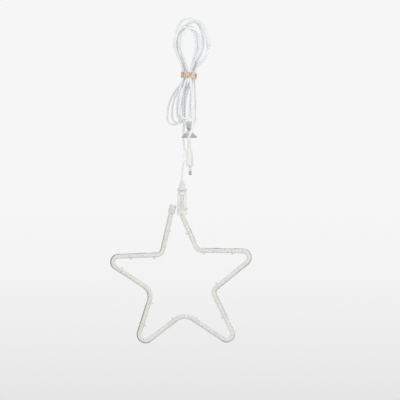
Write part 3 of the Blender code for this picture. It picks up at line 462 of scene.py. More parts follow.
def placed(part, matrix):
    """Moves points by a matrix."""
    points, faces = part
    m = np.array(matrix, float)
    return points @ m[:3, :3].T + m[:3, 3], faces


def ease(share):
    """Smooth step, 3 s squared less 2 s cubed, of a share held between 0 and 1."""
    share = np.clip(share, 0, 1)
    return share * share * (3 - 2 * share)


def squarish(wave, power):
    """A cosine or sine raised to a power with its sign kept, which pulls a round outline towards a box."""
    return np.sign(wave) * np.abs(wave) ** power


def wavering(radius, share, run, waves):
    """A radius that wavers along its run: less a share, plus the share times the product of two sines."""
    return radius * (1 - share + share * np.sin(run / waves[0]) * np.sin(run / waves[1]))


def unit(vector):
    """A vector, or each row of vectors, at length 1."""
    return vector / (np.linalg.norm(vector) if vector.ndim == 1 else np.linalg.norm(vector, axis=1)[:, None])


def circle(sides):
    """Angles once round."""
    return np.linspace(0, math.tau, sides, endpoint=False)


def oval(x, z, wide, tall, angle):
    """Points round an oval: x + wide cos a, z + tall sin a."""
    return np.column_stack([x + wide * np.cos(angle), z + tall * np.sin(angle)])


def rounded_profile(points, radius, steps=4):
    """A profile with each corner replaced by a quadratic blend between points set back from the corner."""
    points = np.array(points, float)
    made = [points[:1]]
    for before, corner, after in zip(points, points[1:], points[2:]):
        back, ahead = before - corner, after - corner
        reach = min(radius, np.linalg.norm(back) * 0.45, np.linalg.norm(ahead) * 0.45)
        a, b = corner + unit(back) * reach, corner + unit(ahead) * reach
        t = np.linspace(0, 1, steps + 1)[:, None]
        made.append(a * (1 - t) ** 2 + corner * 2 * t * (1 - t) + b * t ** 2)
    made.append(points[-1:])
    return np.concatenate(made)


def lathe_grid(profile, sides):
    """Rings of a profile (radius, height) turned round Z: x = r cos a, y = r sin a."""
    profile = np.array(profile, float)
    radius = np.maximum(profile[:, :1], 0.00001)
    angle = circle(sides)
    height = np.repeat(profile[:, 1:], sides, axis=1)
    return np.stack([radius * np.cos(angle), radius * np.sin(angle), height], axis=-1)


def turned(name, profile, soften, place, material, node, sides=64, closed=False, steps=4):
    """A piece turned from a profile with softened corners; a closed profile goes round a bore."""
    profile = rounded_profile(profile, soften, steps)
    part = tube(lathe_grid(profile[:-1] if closed else profile, sides), wrap=closed)
    return mesh_piece(name, placed(part, place), material, node)


def path_frame(line):
    """Directions along a line, across it (y cross the first), and square to both."""
    ahead = unit(np.gradient(line, axis=0))
    across = unit(np.cross(np.array((0.0, 1.0, 0.0)), ahead))
    return ahead, across, np.cross(ahead, across)


def swept(line, profile_across, profile_up):
    """Carries a profile along a line: each ring is the line's point plus across and up parts."""
    _, across, up = path_frame(line)
    return line[:, None] + across[:, None] * profile_across[..., None] + up[:, None] * profile_up[..., None]


def round_rod(line, radius, sides, tip=0.6):
    """A round rod along a line, each ring the radius times cos a and sin a, drawn in at both ends."""
    angle = circle(sides)
    size = np.ones(len(line)) * radius
    size[[0, -1]] *= tip
    return tube(swept(line, size[:, None] * np.cos(angle), size[:, None] * np.sin(angle)))


def sampled(line, pace):
    """The same line at an even pace along its length, and how far along each point lies."""
    run = np.concatenate([[0], np.cumsum(np.linalg.norm(np.diff(line, axis=0), axis=1))])
    marks = np.linspace(0, run[-1], max(2, round(run[-1] / pace)) + 1)
    return np.stack([np.interp(marks, run, line[:, axis]) for axis in range(3)], axis=1), marks


# The star's line

# Corners of the star: x and z in shares of its span, and the radius of the bend
corner_table = np.array((
    (-0.1385, 0.157, VALLEY_BEND * 1.0),
    (-0.5715, 0.1405, TIP_BEND * 0.97),
    (-0.203, -0.099, VALLEY_BEND * 1.9),
    (-0.3355, -0.5205, TIP_BEND * 1.04),
    (0.018, -0.251, VALLEY_BEND * 2.1),
    (0.4225, -0.5195, TIP_BEND * 1.0),
    (0.214, -0.095, VALLEY_BEND * 1.0),
    (0.552, 0.1815, TIP_BEND * 1.05),
    (0.112, 0.187, VALLEY_BEND * 1.0),
))
corners = corner_table * (STAR_SPAN, STAR_SPAN, 1)
apex = np.array((-0.0475, 0.559)) * STAR_SPAN
flank_up = unit(apex - corners[0, :2])
rope_left_end = corners[0, :2] + (apex - corners[0, :2]) * ROPE_END_SHARE
cap_corner = rope_left_end + flank_up * (GAP + CAP_TOP) + np.array((flank_up[1], -flank_up[0])) * CAP_RADIUS
mouth = np.array((cap_corner[0] + GAP + SLEEVE_MOUTH_RADIUS, STAR_SPAN * MOUTH_HEIGHT_SHARE))
LEAD_END = np.array((-0.0181, 0.0, -0.3195))
mouth_place = LEAD_END - (0, 0, GAP + SLEEVE_LENGTH + GAP + COLLAR_HEIGHT + RELIEF_LENGTH)
star_place = mouth_place - (mouth[0], 0, mouth[1])


def star_line(start, end, bends, pace=0.004):
    """Middle line from start to end with an arc at each bend, at an even pace, and its straight stretches."""
    stops = [start, *[b[:2] for b in bends], end]
    pieces, straights, last = [], [], np.array(start, float)
    for before, bend, after in zip(stops, bends, stops[2:]):
        corner = bend[:2]
        behind, ahead = unit(corner - before), unit(after - corner)
        turn = math.atan2(behind[0] * ahead[1] - behind[1] * ahead[0], behind @ ahead)
        tangent = bend[2] * math.tan(abs(turn) / 2)
        begin = corner - behind * tangent
        side = np.array((-behind[1], behind[0])) * math.copysign(1, turn)
        centre = begin + side * bend[2]
        t = np.linspace(0, turn, max(4, math.ceil(abs(turn) / ARC_STEP)) + 1)[:, None]
        spoke = begin - centre
        arc = centre + np.hstack([spoke[0] * np.cos(t) - spoke[1] * np.sin(t),
                                  spoke[0] * np.sin(t) + spoke[1] * np.cos(t)])
        count = max(2, int(np.linalg.norm(begin - last) / pace))
        pieces.append(last + (begin - last) * np.linspace(0, 1, count, endpoint=False)[:, None])
        straights.append((last, begin))
        pieces.append(arc[:-1])
        last = corner + ahead * tangent
    count = max(2, int(np.linalg.norm(end - last) / pace))
    pieces.append(last + (end - last) * np.linspace(0, 1, count)[:, None])
    straights.append((last, np.array(end, float)))
    flat = np.concatenate(pieces)
    return np.stack([flat[:, 0], flat[:, 0] * 0, flat[:, 1]], axis=1) + star_place, straights


def on_star(x, z):
    """The place of a point of the star's flat drawing."""
    return Matrix.Translation(Vector((x, 0, z)) + Vector(star_place))


rope_end = mouth + (0, ROPE_GRIP_DEPTH)
mouth_corner = (mouth[0], mouth[1] - MOUTH_DROP, MOUTH_BEND)
rope_line, rope_straights = star_line(rope_left_end, rope_end, np.vstack([corners, mouth_corner]))
# How far the wire lies outwards and back from the rope
wire_offset = np.array((math.cos(WIRE_SETBACK), math.sin(WIRE_SETBACK))) * (ROPE_RADIUS + GAP + WIRE_RADIUS)


# Rope light

def make_rope(material):
    """Extruded clear rope: a circle carried along the star's line, its radius wavering by a hundredth."""
    line, run = sampled(rope_line, 0.0018)
    part = round_rod(line, wavering(ROPE_RADIUS, 0.006, run, (0.021, 0.0083)), 28, 0.93)
    mesh_piece("rope_skin", part, material, "rope_jacket", smooth=50)


def make_bus_wires(material):
    """Two stranded supply wires beside the lamps: a five-lobed circle that turns as it is carried along."""
    line, run = sampled(rope_line, 0.0022)
    angle = circle(15)
    lobes = BUS_RADIUS * (0.86 + 0.14 * np.cos(5 * angle[None] + run[:, None] / 0.0016))
    for name, side in (("bus_wire_outer", -1), ("bus_wire_inner", 1)):
        offset = side * (BORE_RADIUS - GAP - BUS_RADIUS)
        part = tube(swept(line, offset + lobes * np.cos(angle), lobes * np.sin(angle)))
        mesh_piece(name + "_strands", part, material, name, smooth=60)


def make_lamps(lens, copper):
    """A row of lamps, each a turned bulb on a flange, and two link wires, a double helix between them."""
    line, run = sampled(rope_line, 0.0012)
    ahead, across, up = path_frame(line)
    total = run[-1]
    count = int((total - 2 * LAMP_INSET) / LAMP_PITCH)
    marks = (total - (count - 1) * LAMP_PITCH) / 2 + LAMP_PITCH * np.arange(count)
    at = np.searchsorted(run, marks)
    bulb = rounded_profile(((0, -0.0026), (0.0013, -0.0026), (0.0013, -0.0019), (0.0010, -0.0019),
                            (0.0010, 0.0010), (0.0007, 0.0022), (0, 0.0026)), 0.0004, 2)
    x, y, z = np.moveaxis(lathe_grid(bulb, 12), -1, 0)[..., None]
    grids = (line[at][:, None, None] + across[at][:, None, None] * x + up[at][:, None, None] * y
             + ahead[at][:, None, None] * z)
    mesh_piece("lamps", joined(*map(tube, grids)), lens, "led_string")
    near = np.min(np.abs(run[:, None] - marks[None]), axis=1)
    apart = LINK_SPREAD * ease((near - 0.0012) / 0.003) + LINK_CLOSE
    rods = []
    for turn in (0, math.pi):
        phase = run / 0.0021 + turn
        strand = line + across * (apart * np.cos(phase))[:, None] + up * (apart * np.sin(phase))[:, None]
        rods.append(round_rod(strand, LINK_RADIUS, 6))
    mesh_piece("link_wires", joined(*rods), copper)


def make_star_wire(material):
    """Bent steel wire: a circle along the rope's line, set out and back from it, with blunt cut ends."""
    start = rope_left_end - flank_up * (CAP_LENGTH - CAP_TOP + WIRE_STOP)
    begin, end = rope_straights[-2]
    line, _ = star_line(start, end - unit(end - begin) * WIRE_STOP, corners)
    line, _ = sampled(line, 0.0018)
    across = path_frame(line)[1]
    line = line + across * wire_offset[0] + np.array((0, 1, 0)) * wire_offset[1]
    mesh_piece("bent_wire", round_rod(line, WIRE_RADIUS, 14), material, "star_wire")


# Ties

# Flank of the star and share of its length at which each tie sits
tie_table = ((0, 0.45), (1, 0.06), (1, 0.68), (2, 0.18), (3, 0.05), (3, 0.75), (4, 0.94), (5, 0.08),
             (6, 0.42), (7, 0.06), (8, 0.26), (8, 0.95), (9, 0.50))
# Share of the strap's thickness and of its width, round its section
strap_section = ((0.0, -0.46), (0.12, -0.5), (0.88, -0.5), (1.0, -0.46),
                 (1.0, 0.46), (0.88, 0.5), (0.12, 0.5), (0.0, 0.46))
octagon = np.array(((-1, -0.7), (-0.7, -1), (0.7, -1), (1, -0.7), (1, 0.7), (0.7, 1), (-0.7, 1), (-1, 0.7)))
square = np.array(((-1, -1), (1, -1), (1, 1), (-1, 1)))


def belt_outline(radius_a, centre_b, radius_b, points=24):
    """Outline drawn tight round two circles: an arc of each, joined by their outer tangents."""
    span = np.linalg.norm(centre_b)
    lean = math.acos((radius_a - radius_b) / span)
    course = math.atan2(centre_b[1], centre_b[0])
    a = np.linspace(course + lean, course + math.tau - lean, points)
    b = np.linspace(course - lean, course + lean, points)
    return np.concatenate([oval(0, 0, radius_a, radius_a, a), oval(*centre_b, radius_b, radius_b, b)])


def stacked(outline, levels, seat, along, out):
    """One outline stacked outwards from a seat, at each level with its height, half length and half width."""
    rings = []
    for height, half_long, half_wide in levels:
        flat = seat + out * height + along * (outline[:, :1] * half_long)
        rings.append(np.column_stack([flat, outline[:, 1] * half_wide]))
    return tube(np.stack(rings))


def belt_part(radius_a, centre_b, radius_b, head_at):
    """A flat strap round two circles with rounded edges, its lock outside, the trimmed tail through it."""
    rings = []
    for grow, height in strap_section:
        outline = belt_outline(radius_a + grow * TIE_THICKNESS, centre_b, radius_b + grow * TIE_THICKNESS)
        rings.append(np.column_stack([outline, np.full(len(outline), height * TIE_WIDTH)]))
    strap = tube(np.stack(rings), wrap=True)
    outline = belt_outline(radius_a, centre_b, radius_b)
    seat = outline[head_at]
    along = unit(outline[head_at + 1] - outline[head_at - 1])
    out = np.array((along[1], -along[0]))
    lock = [(TIE_THICKNESS * 0.5 + LOCK_HEIGHT * share, LOCK_HALF_LENGTH * grow, LOCK_HALF_WIDTH * grow)
            for share, grow in ((0, 0.84), (0.08, 1.0), (0.92, 1.0), (1, 0.84))]
    tail = [(TAIL_FOOT + TAIL_LENGTH * share, TAIL_HALF_THICKNESS, TIE_WIDTH * 0.45) for share in (0, 1)]
    return joined(strap, stacked(octagon, lock, seat, along, out),
                  stacked(square, tail, seat + along * TAIL_HALF_THICKNESS, along, out))


def make_ties(material):
    """A strap round rope and wire at each place where the rope is tied."""
    part = belt_part(ROPE_RADIUS + GAP * 0.6, wire_offset, WIRE_RADIUS + GAP * 0.6, 8)
    for number, (flank, share) in enumerate(tie_table, start=1):
        begin, end = rope_straights[flank]
        ahead = unit(end - begin)
        if flank == 0:
            begin = begin + ahead * CAP_LENGTH
        out, back = Vector((ahead[1], 0, -ahead[0])), Vector((0, 1, 0))
        facing = Matrix((out, back, out.cross(back))).transposed().to_4x4()
        place = on_star(*(begin + (end - begin) * share)) @ facing
        name = f"rope_tie_{number:02d}"
        mesh_piece(name + "_strap", placed(part, place), material, name)


def make_end_tie(material):
    """The strap round the cap and the connector sleeve."""
    lean = flank_up[0] / flank_up[1]
    height = rope_left_end[1] - CAP_LENGTH / 3
    cap_x = rope_left_end[0] - lean * (CAP_LENGTH / 3)
    rise = (height - mouth[1]) / SLEEVE_LENGTH
    sleeve = SLEEVE_MOUTH_RADIUS + (SLEEVE_TOP_RADIUS - SLEEVE_MOUTH_RADIUS) * rise + GAP
    cap = CAP_RADIUS / flank_up[1] + abs(lean) * TIE_WIDTH + GAP
    part = belt_part(sleeve, np.array((cap_x - mouth[0], 0)), cap, 7)
    mesh_piece("end_tie_strap", placed(part, on_star(mouth[0], height)), material, "end_tie")


# Cap and connector

def make_cap(material):
    """A blind cap turned from its profile, with a rim at the mouth and a soft top edge."""
    bore = ROPE_RADIUS + SNUG_GAP
    depth = CAP_LENGTH - CAP_TOP
    wall = CAP_RADIUS - 0.0005
    top = GAP + CAP_TOP
    profile = ((0, GAP), (bore, GAP), (bore, -depth), (CAP_RADIUS, -depth), (CAP_RADIUS, -depth + 0.0022),
               (wall, -depth + 0.0027), (wall, top - 0.0010), (wall - 0.0010, top), (0, top))
    lean = Matrix.Rotation(math.atan2(flank_up[0], flank_up[1]), 4, "Y")
    turned("cap", profile, 0.0005, on_star(*rope_left_end) @ lean, material, "end_cap")


def sleeve_bore(height):
    """Radius left inside the sleeve at a height above its mouth, a seat's gap in from its wall."""
    cone = SLEEVE_TOP_RADIUS - SLEEVE_MOUTH_RADIUS
    return SLEEVE_MOUTH_RADIUS - SLEEVE_WALL + cone * height / SLEEVE_LENGTH - GAP


def make_connector(clear, soft, grip_material, white, metal):
    """Sleeve with a lip, gland, block, pins and cord grip, each turned from its profile above the mouth."""
    place = Matrix.Translation(Vector(mouth_place))
    length, low, high = SLEEVE_LENGTH, SLEEVE_MOUTH_RADIUS, SLEEVE_TOP_RADIUS
    bore = low - SLEEVE_WALL
    sleeve = ((bore, 0), (low, 0), (low, SLEEVE_LIP), (low - 0.0003, SLEEVE_LIP + 0.0004),
              (high, length - SLEEVE_LIP), (high, length), (high - SLEEVE_WALL, length), (bore, 0.0001))
    turned("sleeve", sleeve, 0.0004, place, clear, "connector_sleeve", closed=True)
    inner = ROPE_RADIUS + SNUG_GAP
    gland = ((inner, GLAND_LOW), (sleeve_bore(GLAND_LOW), GLAND_LOW), (sleeve_bore(GLAND_TOP), GLAND_TOP),
             (inner, GLAND_TOP), (inner, GLAND_LOW + 0.0001))
    turned("gland", gland, 0.0006, place, soft, "rope_gland", closed=True)
    top = length - SPIGOT_LENGTH - GAP
    bottom = top - BLOCK_HEIGHT
    block = ((0, bottom), (sleeve_bore(top), bottom), (sleeve_bore(top), top), (0, top))
    turned("block", block, 0.0006, place, white, "pin_block")
    foot = ROPE_GRIP_DEPTH + GAP
    pin = ((0, foot), (CONTACT_RADIUS, foot + 0.0006), (CONTACT_RADIUS, bottom + 0.0005),
           (0, bottom + 0.0006))
    for name, side in (("contact_pin_left", -1), ("contact_pin_right", 1)):
        shift = place @ Matrix.Translation((side * (BORE_RADIUS - GAP - BUS_RADIUS), 0, 0))
        turned(name + "_turned", pin, 0.0003, shift, metal, name, sides=20)
    seat = length + GAP
    collar = seat + COLLAR_HEIGHT
    tip = collar + RELIEF_LENGTH
    spigot, under = sleeve_bore(length), length - SPIGOT_LENGTH
    grip = [(0, under), (spigot, under), (spigot, seat), (COLLAR_RADIUS, seat),
            (COLLAR_RADIUS, collar - 0.0010), (COLLAR_RADIUS - 0.0010, collar), (0.0079, collar),
            (0.0074, collar + 0.0004)]
    for rib in range(GRIP_RIBS):
        height = collar + 0.0012 + rib * RIB_PITCH
        size = 0.0073 - rib * 0.0010
        grip += [(size, height), (size - 0.0002, height + 0.0022), (size - 0.0010, height + 0.0026),
                 (size - 0.0011, height + 0.0036)]
    grip += [(0.0030, tip - 0.0004), (0.0024, tip), (0, tip)]
    turned("grip", grip, 0.0003, place, grip_material, "cord_grip", steps=3)


# Cord

def spread(near, reach, shares):
    """One size for each loop: the near or low one, plus the loop's share of the reach to the far one."""
    return near + reach * np.array(shares)


crown_tops = spread(CORD_RADIUS, CROWN_HEIGHT - CORD_RADIUS, (1.00, 0.62, 0.37, 0.79, 0.13, 0.00))
left_bellies = -spread(0.0202, 0.0150, (1.00, 0.07, 0.66, 0.36, 0.82, 0.00))
right_bellies = spread(0.0117, 0.0308, (0.51, 0.82, 0.15, 1.00, 0.00, 0.33))
shoulder_drops = spread(0, 0.0140, (0, 1, 0, 0, 0, 0))
left_waists = -spread(0.0064, 0.0096, (0.20, 0.60, 0.40, 1.00, 0.80, 0.00))
right_waists = spread(-0.0011, 0.0099, (0.40, 0.60, 1.00, 0.80, 0.20, 0.00))
foot_sides = -spread(0.0024, 0.0338, (1.00, 0.70, 0.00, 0.38, 0.20))
foot_heights = spread(-0.2032, 0.0136, (0.17, 0.42, 0.00, 0.85, 1.00))
lead_route = ((-0.0143, 0.0185, -0.2030), (-0.0151, 0.0235, -0.2140), (-0.0156, 0.0255, -0.2250),
              (-0.0153, 0.0238, -0.2370), (-0.0126, 0.0165, -0.2560), (-0.0140, 0.0085, -0.2770),
              (-0.0175, 0.0022, -0.2970))
tail_route = ((0.0048, -0.0185, -0.2015), (0.0036, -0.0228, -0.2105), (0.0014, -0.0252, -0.2185),
              (-0.0014, -0.0256, -0.2250))
TAIL_END = np.array((-0.0034, -0.0250, -0.2340))
DOWN = np.array((0, 0, -1.0))
plug_way = np.array((math.sin(PLUG_LEAN), 0, -math.cos(PLUG_LEAN)))


def between(start, end, lean, share):
    """Points on the way from start to end, by their shares of the way across and of the way up or down."""
    return np.column_stack([start[0] + (end[0] - start[0]) * lean, start[1] + (end[1] - start[1]) * share])


def leaning(waist, belly):
    """Points from the waist up to a belly, where the strand stands upright: the lean is a smooth step."""
    share = np.linspace(0, 1, 10)[1:-1]
    return between(waist, belly, ease(share), share)


def fanning(waist, side):
    """Points from the waist down to a foot's side: the lean at share s is (1 - (1 - s)^power)^softness."""
    share = np.linspace(0, 1, 14)[1:-1]
    return between(waist, side, (1 - (1 - share) ** FAN_POWER) ** FAN_SOFTNESS, share)


def layered(flat, depth):
    """Flat points (x, z) given their depth y."""
    return np.column_stack([flat[:, 0], np.zeros(len(flat)) + depth, flat[:, 1]])


def hank_line():
    """Six loops: up the left, half an oval over the crown, down the right a layer on, half a circle."""
    layers = (LOOP_COUNT / 2 - np.arange(LOOP_COUNT + 1)) * LOOP_STEP
    end_height = -HANK_END_DROP + CORD_RADIUS * 2
    lead_in, lead_out = (LEAD_X, end_height), (TAIL_X, end_height)
    line = [np.array((LEAD_X, layers[0], -HANK_END_DROP))]
    for k in range(LOOP_COUNT):
        left, right, top = left_bellies[k], right_bellies[k], crown_tops[k]
        half = (right - left) / 2
        belly = top - min(top + BELLY_DROP, half * half / FOLD_RADIUS)
        shoulder = belly - shoulder_drops[k]
        left_waist, right_waist = (left_waists[k], -WAIST_DROP), (right_waists[k], -WAIST_DROP)
        angle = np.linspace(math.pi, 0, 25)
        side = np.where(angle > math.pi / 2, belly, shoulder)
        rise = [lead_in, fanning(left_waist, lead_in)[::-1], left_waist, leaning(left_waist, (left, belly)),
                oval((left + right) / 2, side, half, top - side, angle)]
        line.append(layered(np.vstack(rise), layers[k]))
        fall = [leaning(right_waist, (right, shoulder))[::-1], right_waist]
        last = k == LOOP_COUNT - 1
        if last:
            fall += [fanning(right_waist, lead_out), lead_out, (TAIL_X, -HANK_END_DROP)]
        else:
            side = foot_heights[k] + FOLD_RADIUS
            fall.append(fanning(right_waist, (foot_sides[k] + FOLD_RADIUS, side)))
        fall = np.vstack(fall)
        share = ease((-BELLY_DROP - fall[:, 1]) / (WAIST_DROP - BELLY_DROP))
        line.append(layered(fall, layers[k] + (layers[k + 1] - layers[k]) * share))
        if not last:
            fold = oval(foot_sides[k], side, FOLD_RADIUS, FOLD_RADIUS, np.linspace(0, -math.pi, 17)[:-1])
            line.append(layered(fold, layers[k + 1]))
            lead_in = (foot_sides[k] - FOLD_RADIUS, side)
    return np.vstack(line)


def smooth_route(start, start_way, route, end, end_way):
    """A smooth curve through route points: cubics whose slopes are half their neighbours' distance."""
    reach = CORD_RADIUS * 2
    keys = np.vstack([start, start + start_way * reach, np.array(route), end - end_way * reach, end])
    t = np.linspace(0, 1, 6, endpoint=False)[:, None]
    curves = [keys[:1]]
    for a, b, c, d in zip(keys, keys[1:], keys[2:], keys[3:]):
        curves.append(0.5 * (2 * b + (c - a) * t + (2 * a - 5 * b + 4 * c - d) * t ** 2
                             + (3 * b - a - 3 * c + d) * t ** 3))
    curves.append(keys[-2:])
    return np.vstack(curves)


def eased(line, passes):
    """The line with each point moved halfway to the middle of its neighbours, so many times over."""
    for _ in range(passes):
        line = np.vstack([line[:1], (line[:-2] + line[1:-1] * 2 + line[2:]) / 4, line[-1:]])
    return line


def make_cord(material):
    """One round cord carried along its whole line, from the connector through the hank to the plug.

    The line is eased without shrinking: twice its light easing less its stronger one.
    """
    hank = hank_line()
    lead = smooth_route(hank[0], DOWN, lead_route, LEAD_END, DOWN)[::-1]
    tail = smooth_route(hank[-1], DOWN, tail_route, TAIL_END, plug_way)
    line = np.vstack([LEAD_END + DOWN * 0.004, lead[:-1], hank, tail[1:], TAIL_END + plug_way * 0.004])
    line, run = sampled(line, 0.0022)
    smooth = 2 * eased(line, 3) - eased(line, 6)
    part = round_rod(smooth, wavering(CORD_RADIUS, 0.012, run, (0.017, 0.0071)), 18, 1.0)
    piece = mesh_piece("mains_cord", part, material, "cord_hank", "cord_lead", "cord_tail", smooth=60)
    return piece, smooth, run[-1]


# Foil tie

def make_foil_tie(material):
    """Foil wound twice round the waist on a squarish, slanting oval, its ends twisted together behind."""
    low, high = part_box("twist_tie")
    wide = (high.x - low.x) / 2 - STRIP_THICKNESS * 1.2
    deep = -low.y - STRIP_THICKNESS / 2
    count = 260
    turn = np.linspace(0.05, 1.95, count)
    away = np.abs(turn - 1)
    raised = ease((away - 0.72) / 0.10)
    level = ease((away - 0.82) / 0.12)
    angle = math.pi / 2 + math.tau * turn
    power = 2 / STRIP_SQUARENESS
    c, s = np.cos(angle), np.sin(angle)
    x, y = squarish(c, power) * wide, squarish(s, power) * deep
    out = unit(np.column_stack([squarish(c, 2 - power) / wide, squarish(s, 2 - power) / deep]))
    lift = (STRIP_THICKNESS + GAP) * raised
    height = (turn - 1) * STRIP_PITCH * (1 - level) - x * STRIP_SLANT
    centre = np.column_stack([x + out[:, 0] * lift, y + out[:, 1] * lift, height])
    normal = np.column_stack([out, np.zeros(count)])
    across = np.linspace(-0.5, 0.5, 9)
    ridge = 0.5 * STRIP_THICKNESS * (0.55 + 0.45 * np.exp(-(across / 0.10) ** 2))
    run = np.linspace(0, 1, count)[:, None]
    crease = 0.00016 * np.sin(run * 173 + across[None] * 7) * np.sin(run * 61 + 2 * across[None])

    def face(shares, stand):
        """One face: the middle line, plus up by the width's share, plus out by how far it stands."""
        up = -DOWN * (shares * STRIP_WIDTH)[:, None]
        return centre[:, None] + up + normal[:, None] * stand[..., None]

    band = np.concatenate([face(across, ridge[None] + crease),
                           face(across[::-1], crease[:, ::-1] - ridge[::-1][None] * 0.8)], axis=1)
    parts = [tube(band)]
    foot = deep + STRIP_THICKNESS + GAP + TWIST_BEND
    twist = np.linspace(0, 1, 60)
    turned_by = TWIST_TURN * twist
    way = np.column_stack([np.cos(turned_by), 0 * twist, np.sin(turned_by)])
    along = np.column_stack([-np.sin(turned_by), 0 * twist, np.cos(turned_by)])
    back = foot - TWIST_OVERLAP + (TWIST_LENGTH + TWIST_OVERLAP) * twist
    spine = np.column_stack([0 * twist, back, 0 * twist])
    section = ((-0.5, -0.5), (0.5, -0.5), (0.6, 0.0), (0.5, 0.5), (-0.5, 0.5), (-0.6, 0.0))
    for side in (-1, 1):
        middle = spine + way * (side * STRIP_THICKNESS * 0.55)
        parts.append(tube(np.stack([middle + way * (a * STRIP_THICKNESS) + along * (b * STRIP_WIDTH)
                                    for a, b in section], axis=1)))
    part = placed(joined(*parts), Matrix.Translation(((low.x + high.x) / 2, 0, -WAIST_DROP)))
    mesh_piece("foil_tie", part, material, "twist_tie", smooth=60)


# Plug

# Down the plug's body: share of its length, of its width and of its thickness, and how square it is
plug_table = np.array((
    (0.00, 0.34, 0.80, 2.2),
    (0.12, 0.42, 0.92, 2.4),
    (0.40, 0.58, 0.97, 2.8),
    (0.66, 0.82, 1.00, 3.2),
    (0.84, 0.97, 1.00, 3.6),
    (0.93, 1.00, 1.00, 3.8),
    (1.00, 0.98, 0.97, 3.8),
))
# Radius and height of the pins and of their sleeves, below the plug's face
pin_profile = ((0, -0.0004), (0.0013, -0.0004), (0.0013, -0.0106), (0.0020, -0.0106), (0.0020, -0.0172),
               (0.0012, -0.0189), (0, -0.0190))
pin_sleeve_profile = ((0.0016, -0.0103), (0.0019, -0.0103), (0.0019, -0.0003), (0.0016, -0.0003),
                      (0.0016, -0.0102))


def plug_rings():
    """Rings down the plug (half width, half depth, squareness, height) and how far down its face is."""
    rings = [(0.0023, 2, -GAP), (0.0027, 2, -GAP - 0.0003)]
    for rib in range(PLUG_RIBS):
        height = 0.0008 + rib * RIB_PITCH
        size = 0.0029 + rib * 0.00017
        rings += [(size, 2, -height), (size, 2, -height - 0.0023), (size - 0.0005, 2, -height - 0.0027),
                  (size - 0.0005, 2, -height - 0.0036)]
    rings = [(size, size, power, height) for size, power, height in rings]
    top = PLUG_RELIEF_LENGTH + GAP * 2
    along = np.linspace(0, 1, 34)
    wide, thick, power = (np.interp(along, plug_table[:, 0], plug_table[:, column]) for column in (1, 2, 3))
    wide, thick = wide * PLUG_WIDTH / 2, thick * PLUG_THICKNESS / 2
    for values in (wide, thick):
        values[1:-1] = (values[:-2] + 2 * values[1:-1] + values[2:]) / 4
    rings += list(zip(wide, thick, power, -top - PLUG_LENGTH * along))[:-1]
    face = top + PLUG_LENGTH
    for inset, above in ((0, 0.0006), (0.0002, 0.0002), (0.0007, 0)):
        rings.append((wide[-1] - inset, thick[-1] - inset, FACE_SQUARENESS, -face + above))
    return np.array(rings), face


def make_plug(body, metal, soft):
    """Moulded body: rings between an oval and a box, from the relief to the flat face; two pins below."""
    lean = Matrix.Rotation(-PLUG_LEAN, 4, "Y")
    place = Matrix.Translation(Vector(TAIL_END)) @ lean @ Matrix.Rotation(PLUG_TURN, 4, "Z")
    table, face = plug_rings()
    angle = (np.arange(PLUG_SIDES) + 0.5) / PLUG_SIDES * math.tau
    x = squarish(np.cos(angle)[None], 2 / table[:, 2:3]) * table[:, :1]
    y = squarish(np.sin(angle)[None], 2 / table[:, 2:3]) * table[:, 1:2]
    grid = np.stack([x, y, np.repeat(table[:, 3:], PLUG_SIDES, axis=1)], axis=-1)
    made = [mesh_piece("plug_moulding", placed(tube(grid), place), body, "plug_body")]
    for name, side in (("front", -1), ("back", 1)):
        shift = Matrix.Translation((side * PIN_OFFSET, 0, -face))
        at = place @ shift @ Matrix.Rotation(side * PIN_TOE_IN, 4, "Y")
        made.append(turned(f"pin_{name}", pin_profile, 0.0004, at, metal, f"plug_pin_{name}", sides=40))
        made.append(turned(f"sleeve_{name}", pin_sleeve_profile, 0.0002, at, soft, f"pin_sleeve_{name}",
                           sides=40, closed=True))
    return made


# Suction cup

def make_cup(material):
    """Cup, neck and head turned from one profile, then cut by the cord's hole and the slit above it."""
    head_low = CUP_HEAD_TOP - CUP_HEAD_LENGTH
    dome = head_low - CUP_NECK_LENGTH
    rim = dome - CUP_DOME_HEIGHT
    profile = ((0, rim + 0.0092), (0.0056, rim + 0.0081), (0.0111, rim + 0.0044), (0.0159, rim),
               (CUP_RADIUS, rim), (CUP_RADIUS, rim + 0.0009), (0.0130, rim + 0.0061), (0.0082, rim + 0.0110),
               (CUP_NECK_RADIUS, dome), (CUP_NECK_RADIUS, head_low), (0.0050, head_low + 0.0006),
               (CUP_HEAD_RADIUS, head_low + 0.0030), (CUP_HEAD_RADIUS, CUP_HEAD_TOP - 0.0016),
               (0.0048, CUP_HEAD_TOP), (0, CUP_HEAD_TOP))
    part = tube(lathe_grid(rounded_profile(profile, 0.0012, 3), 72))
    cup = mesh_piece("suction_cup_clear", part, material, "suction_cup", body=CUP_BODY)
    hole, reach = CUP_HOLE_RADIUS, CUTTER_REACH
    rod = tube(lathe_grid(((0, -reach), (hole, -reach), (hole, reach), (0, reach)), 40))
    rod = placed(rod, Matrix.Rotation(math.pi / 2, 4, "Y"))
    ring = square * (reach, SLIT_HALF_WIDTH)
    slot = tube(np.stack([np.column_stack([ring, np.full(4, height)]) for height in (0, SLIT_TOP)]))
    cutters = [mesh_piece("cutter", shape, material, body=CUP_BODY) for shape in (rod, slot)]
    for cutter in cutters:
        cut = cup.modifiers.new("cut", "BOOLEAN")
        cut.operation = "DIFFERENCE"
        cut.solver = "EXACT"
        cut.object = cutter
    bpy.context.view_layer.update()
    mesh = bpy.data.meshes.new_from_object(cup.evaluated_get(bpy.context.evaluated_depsgraph_get()))
    cup.modifiers.clear()
    for cutter in cutters:
        bpy.data.objects.remove(cutter)
    lift = CUP_HEAD_RADIUS ** 2 / (2 * FOLD_RADIUS) / 2
    mesh.transform(Matrix.Translation((foot_sides[CUP_LOOP], 0, foot_heights[CUP_LOOP] + lift)))
    mesh.shade_smooth()
    mesh.set_sharp_from_angle(angle=math.radians(35))
    cup.data = mesh


# The whole object

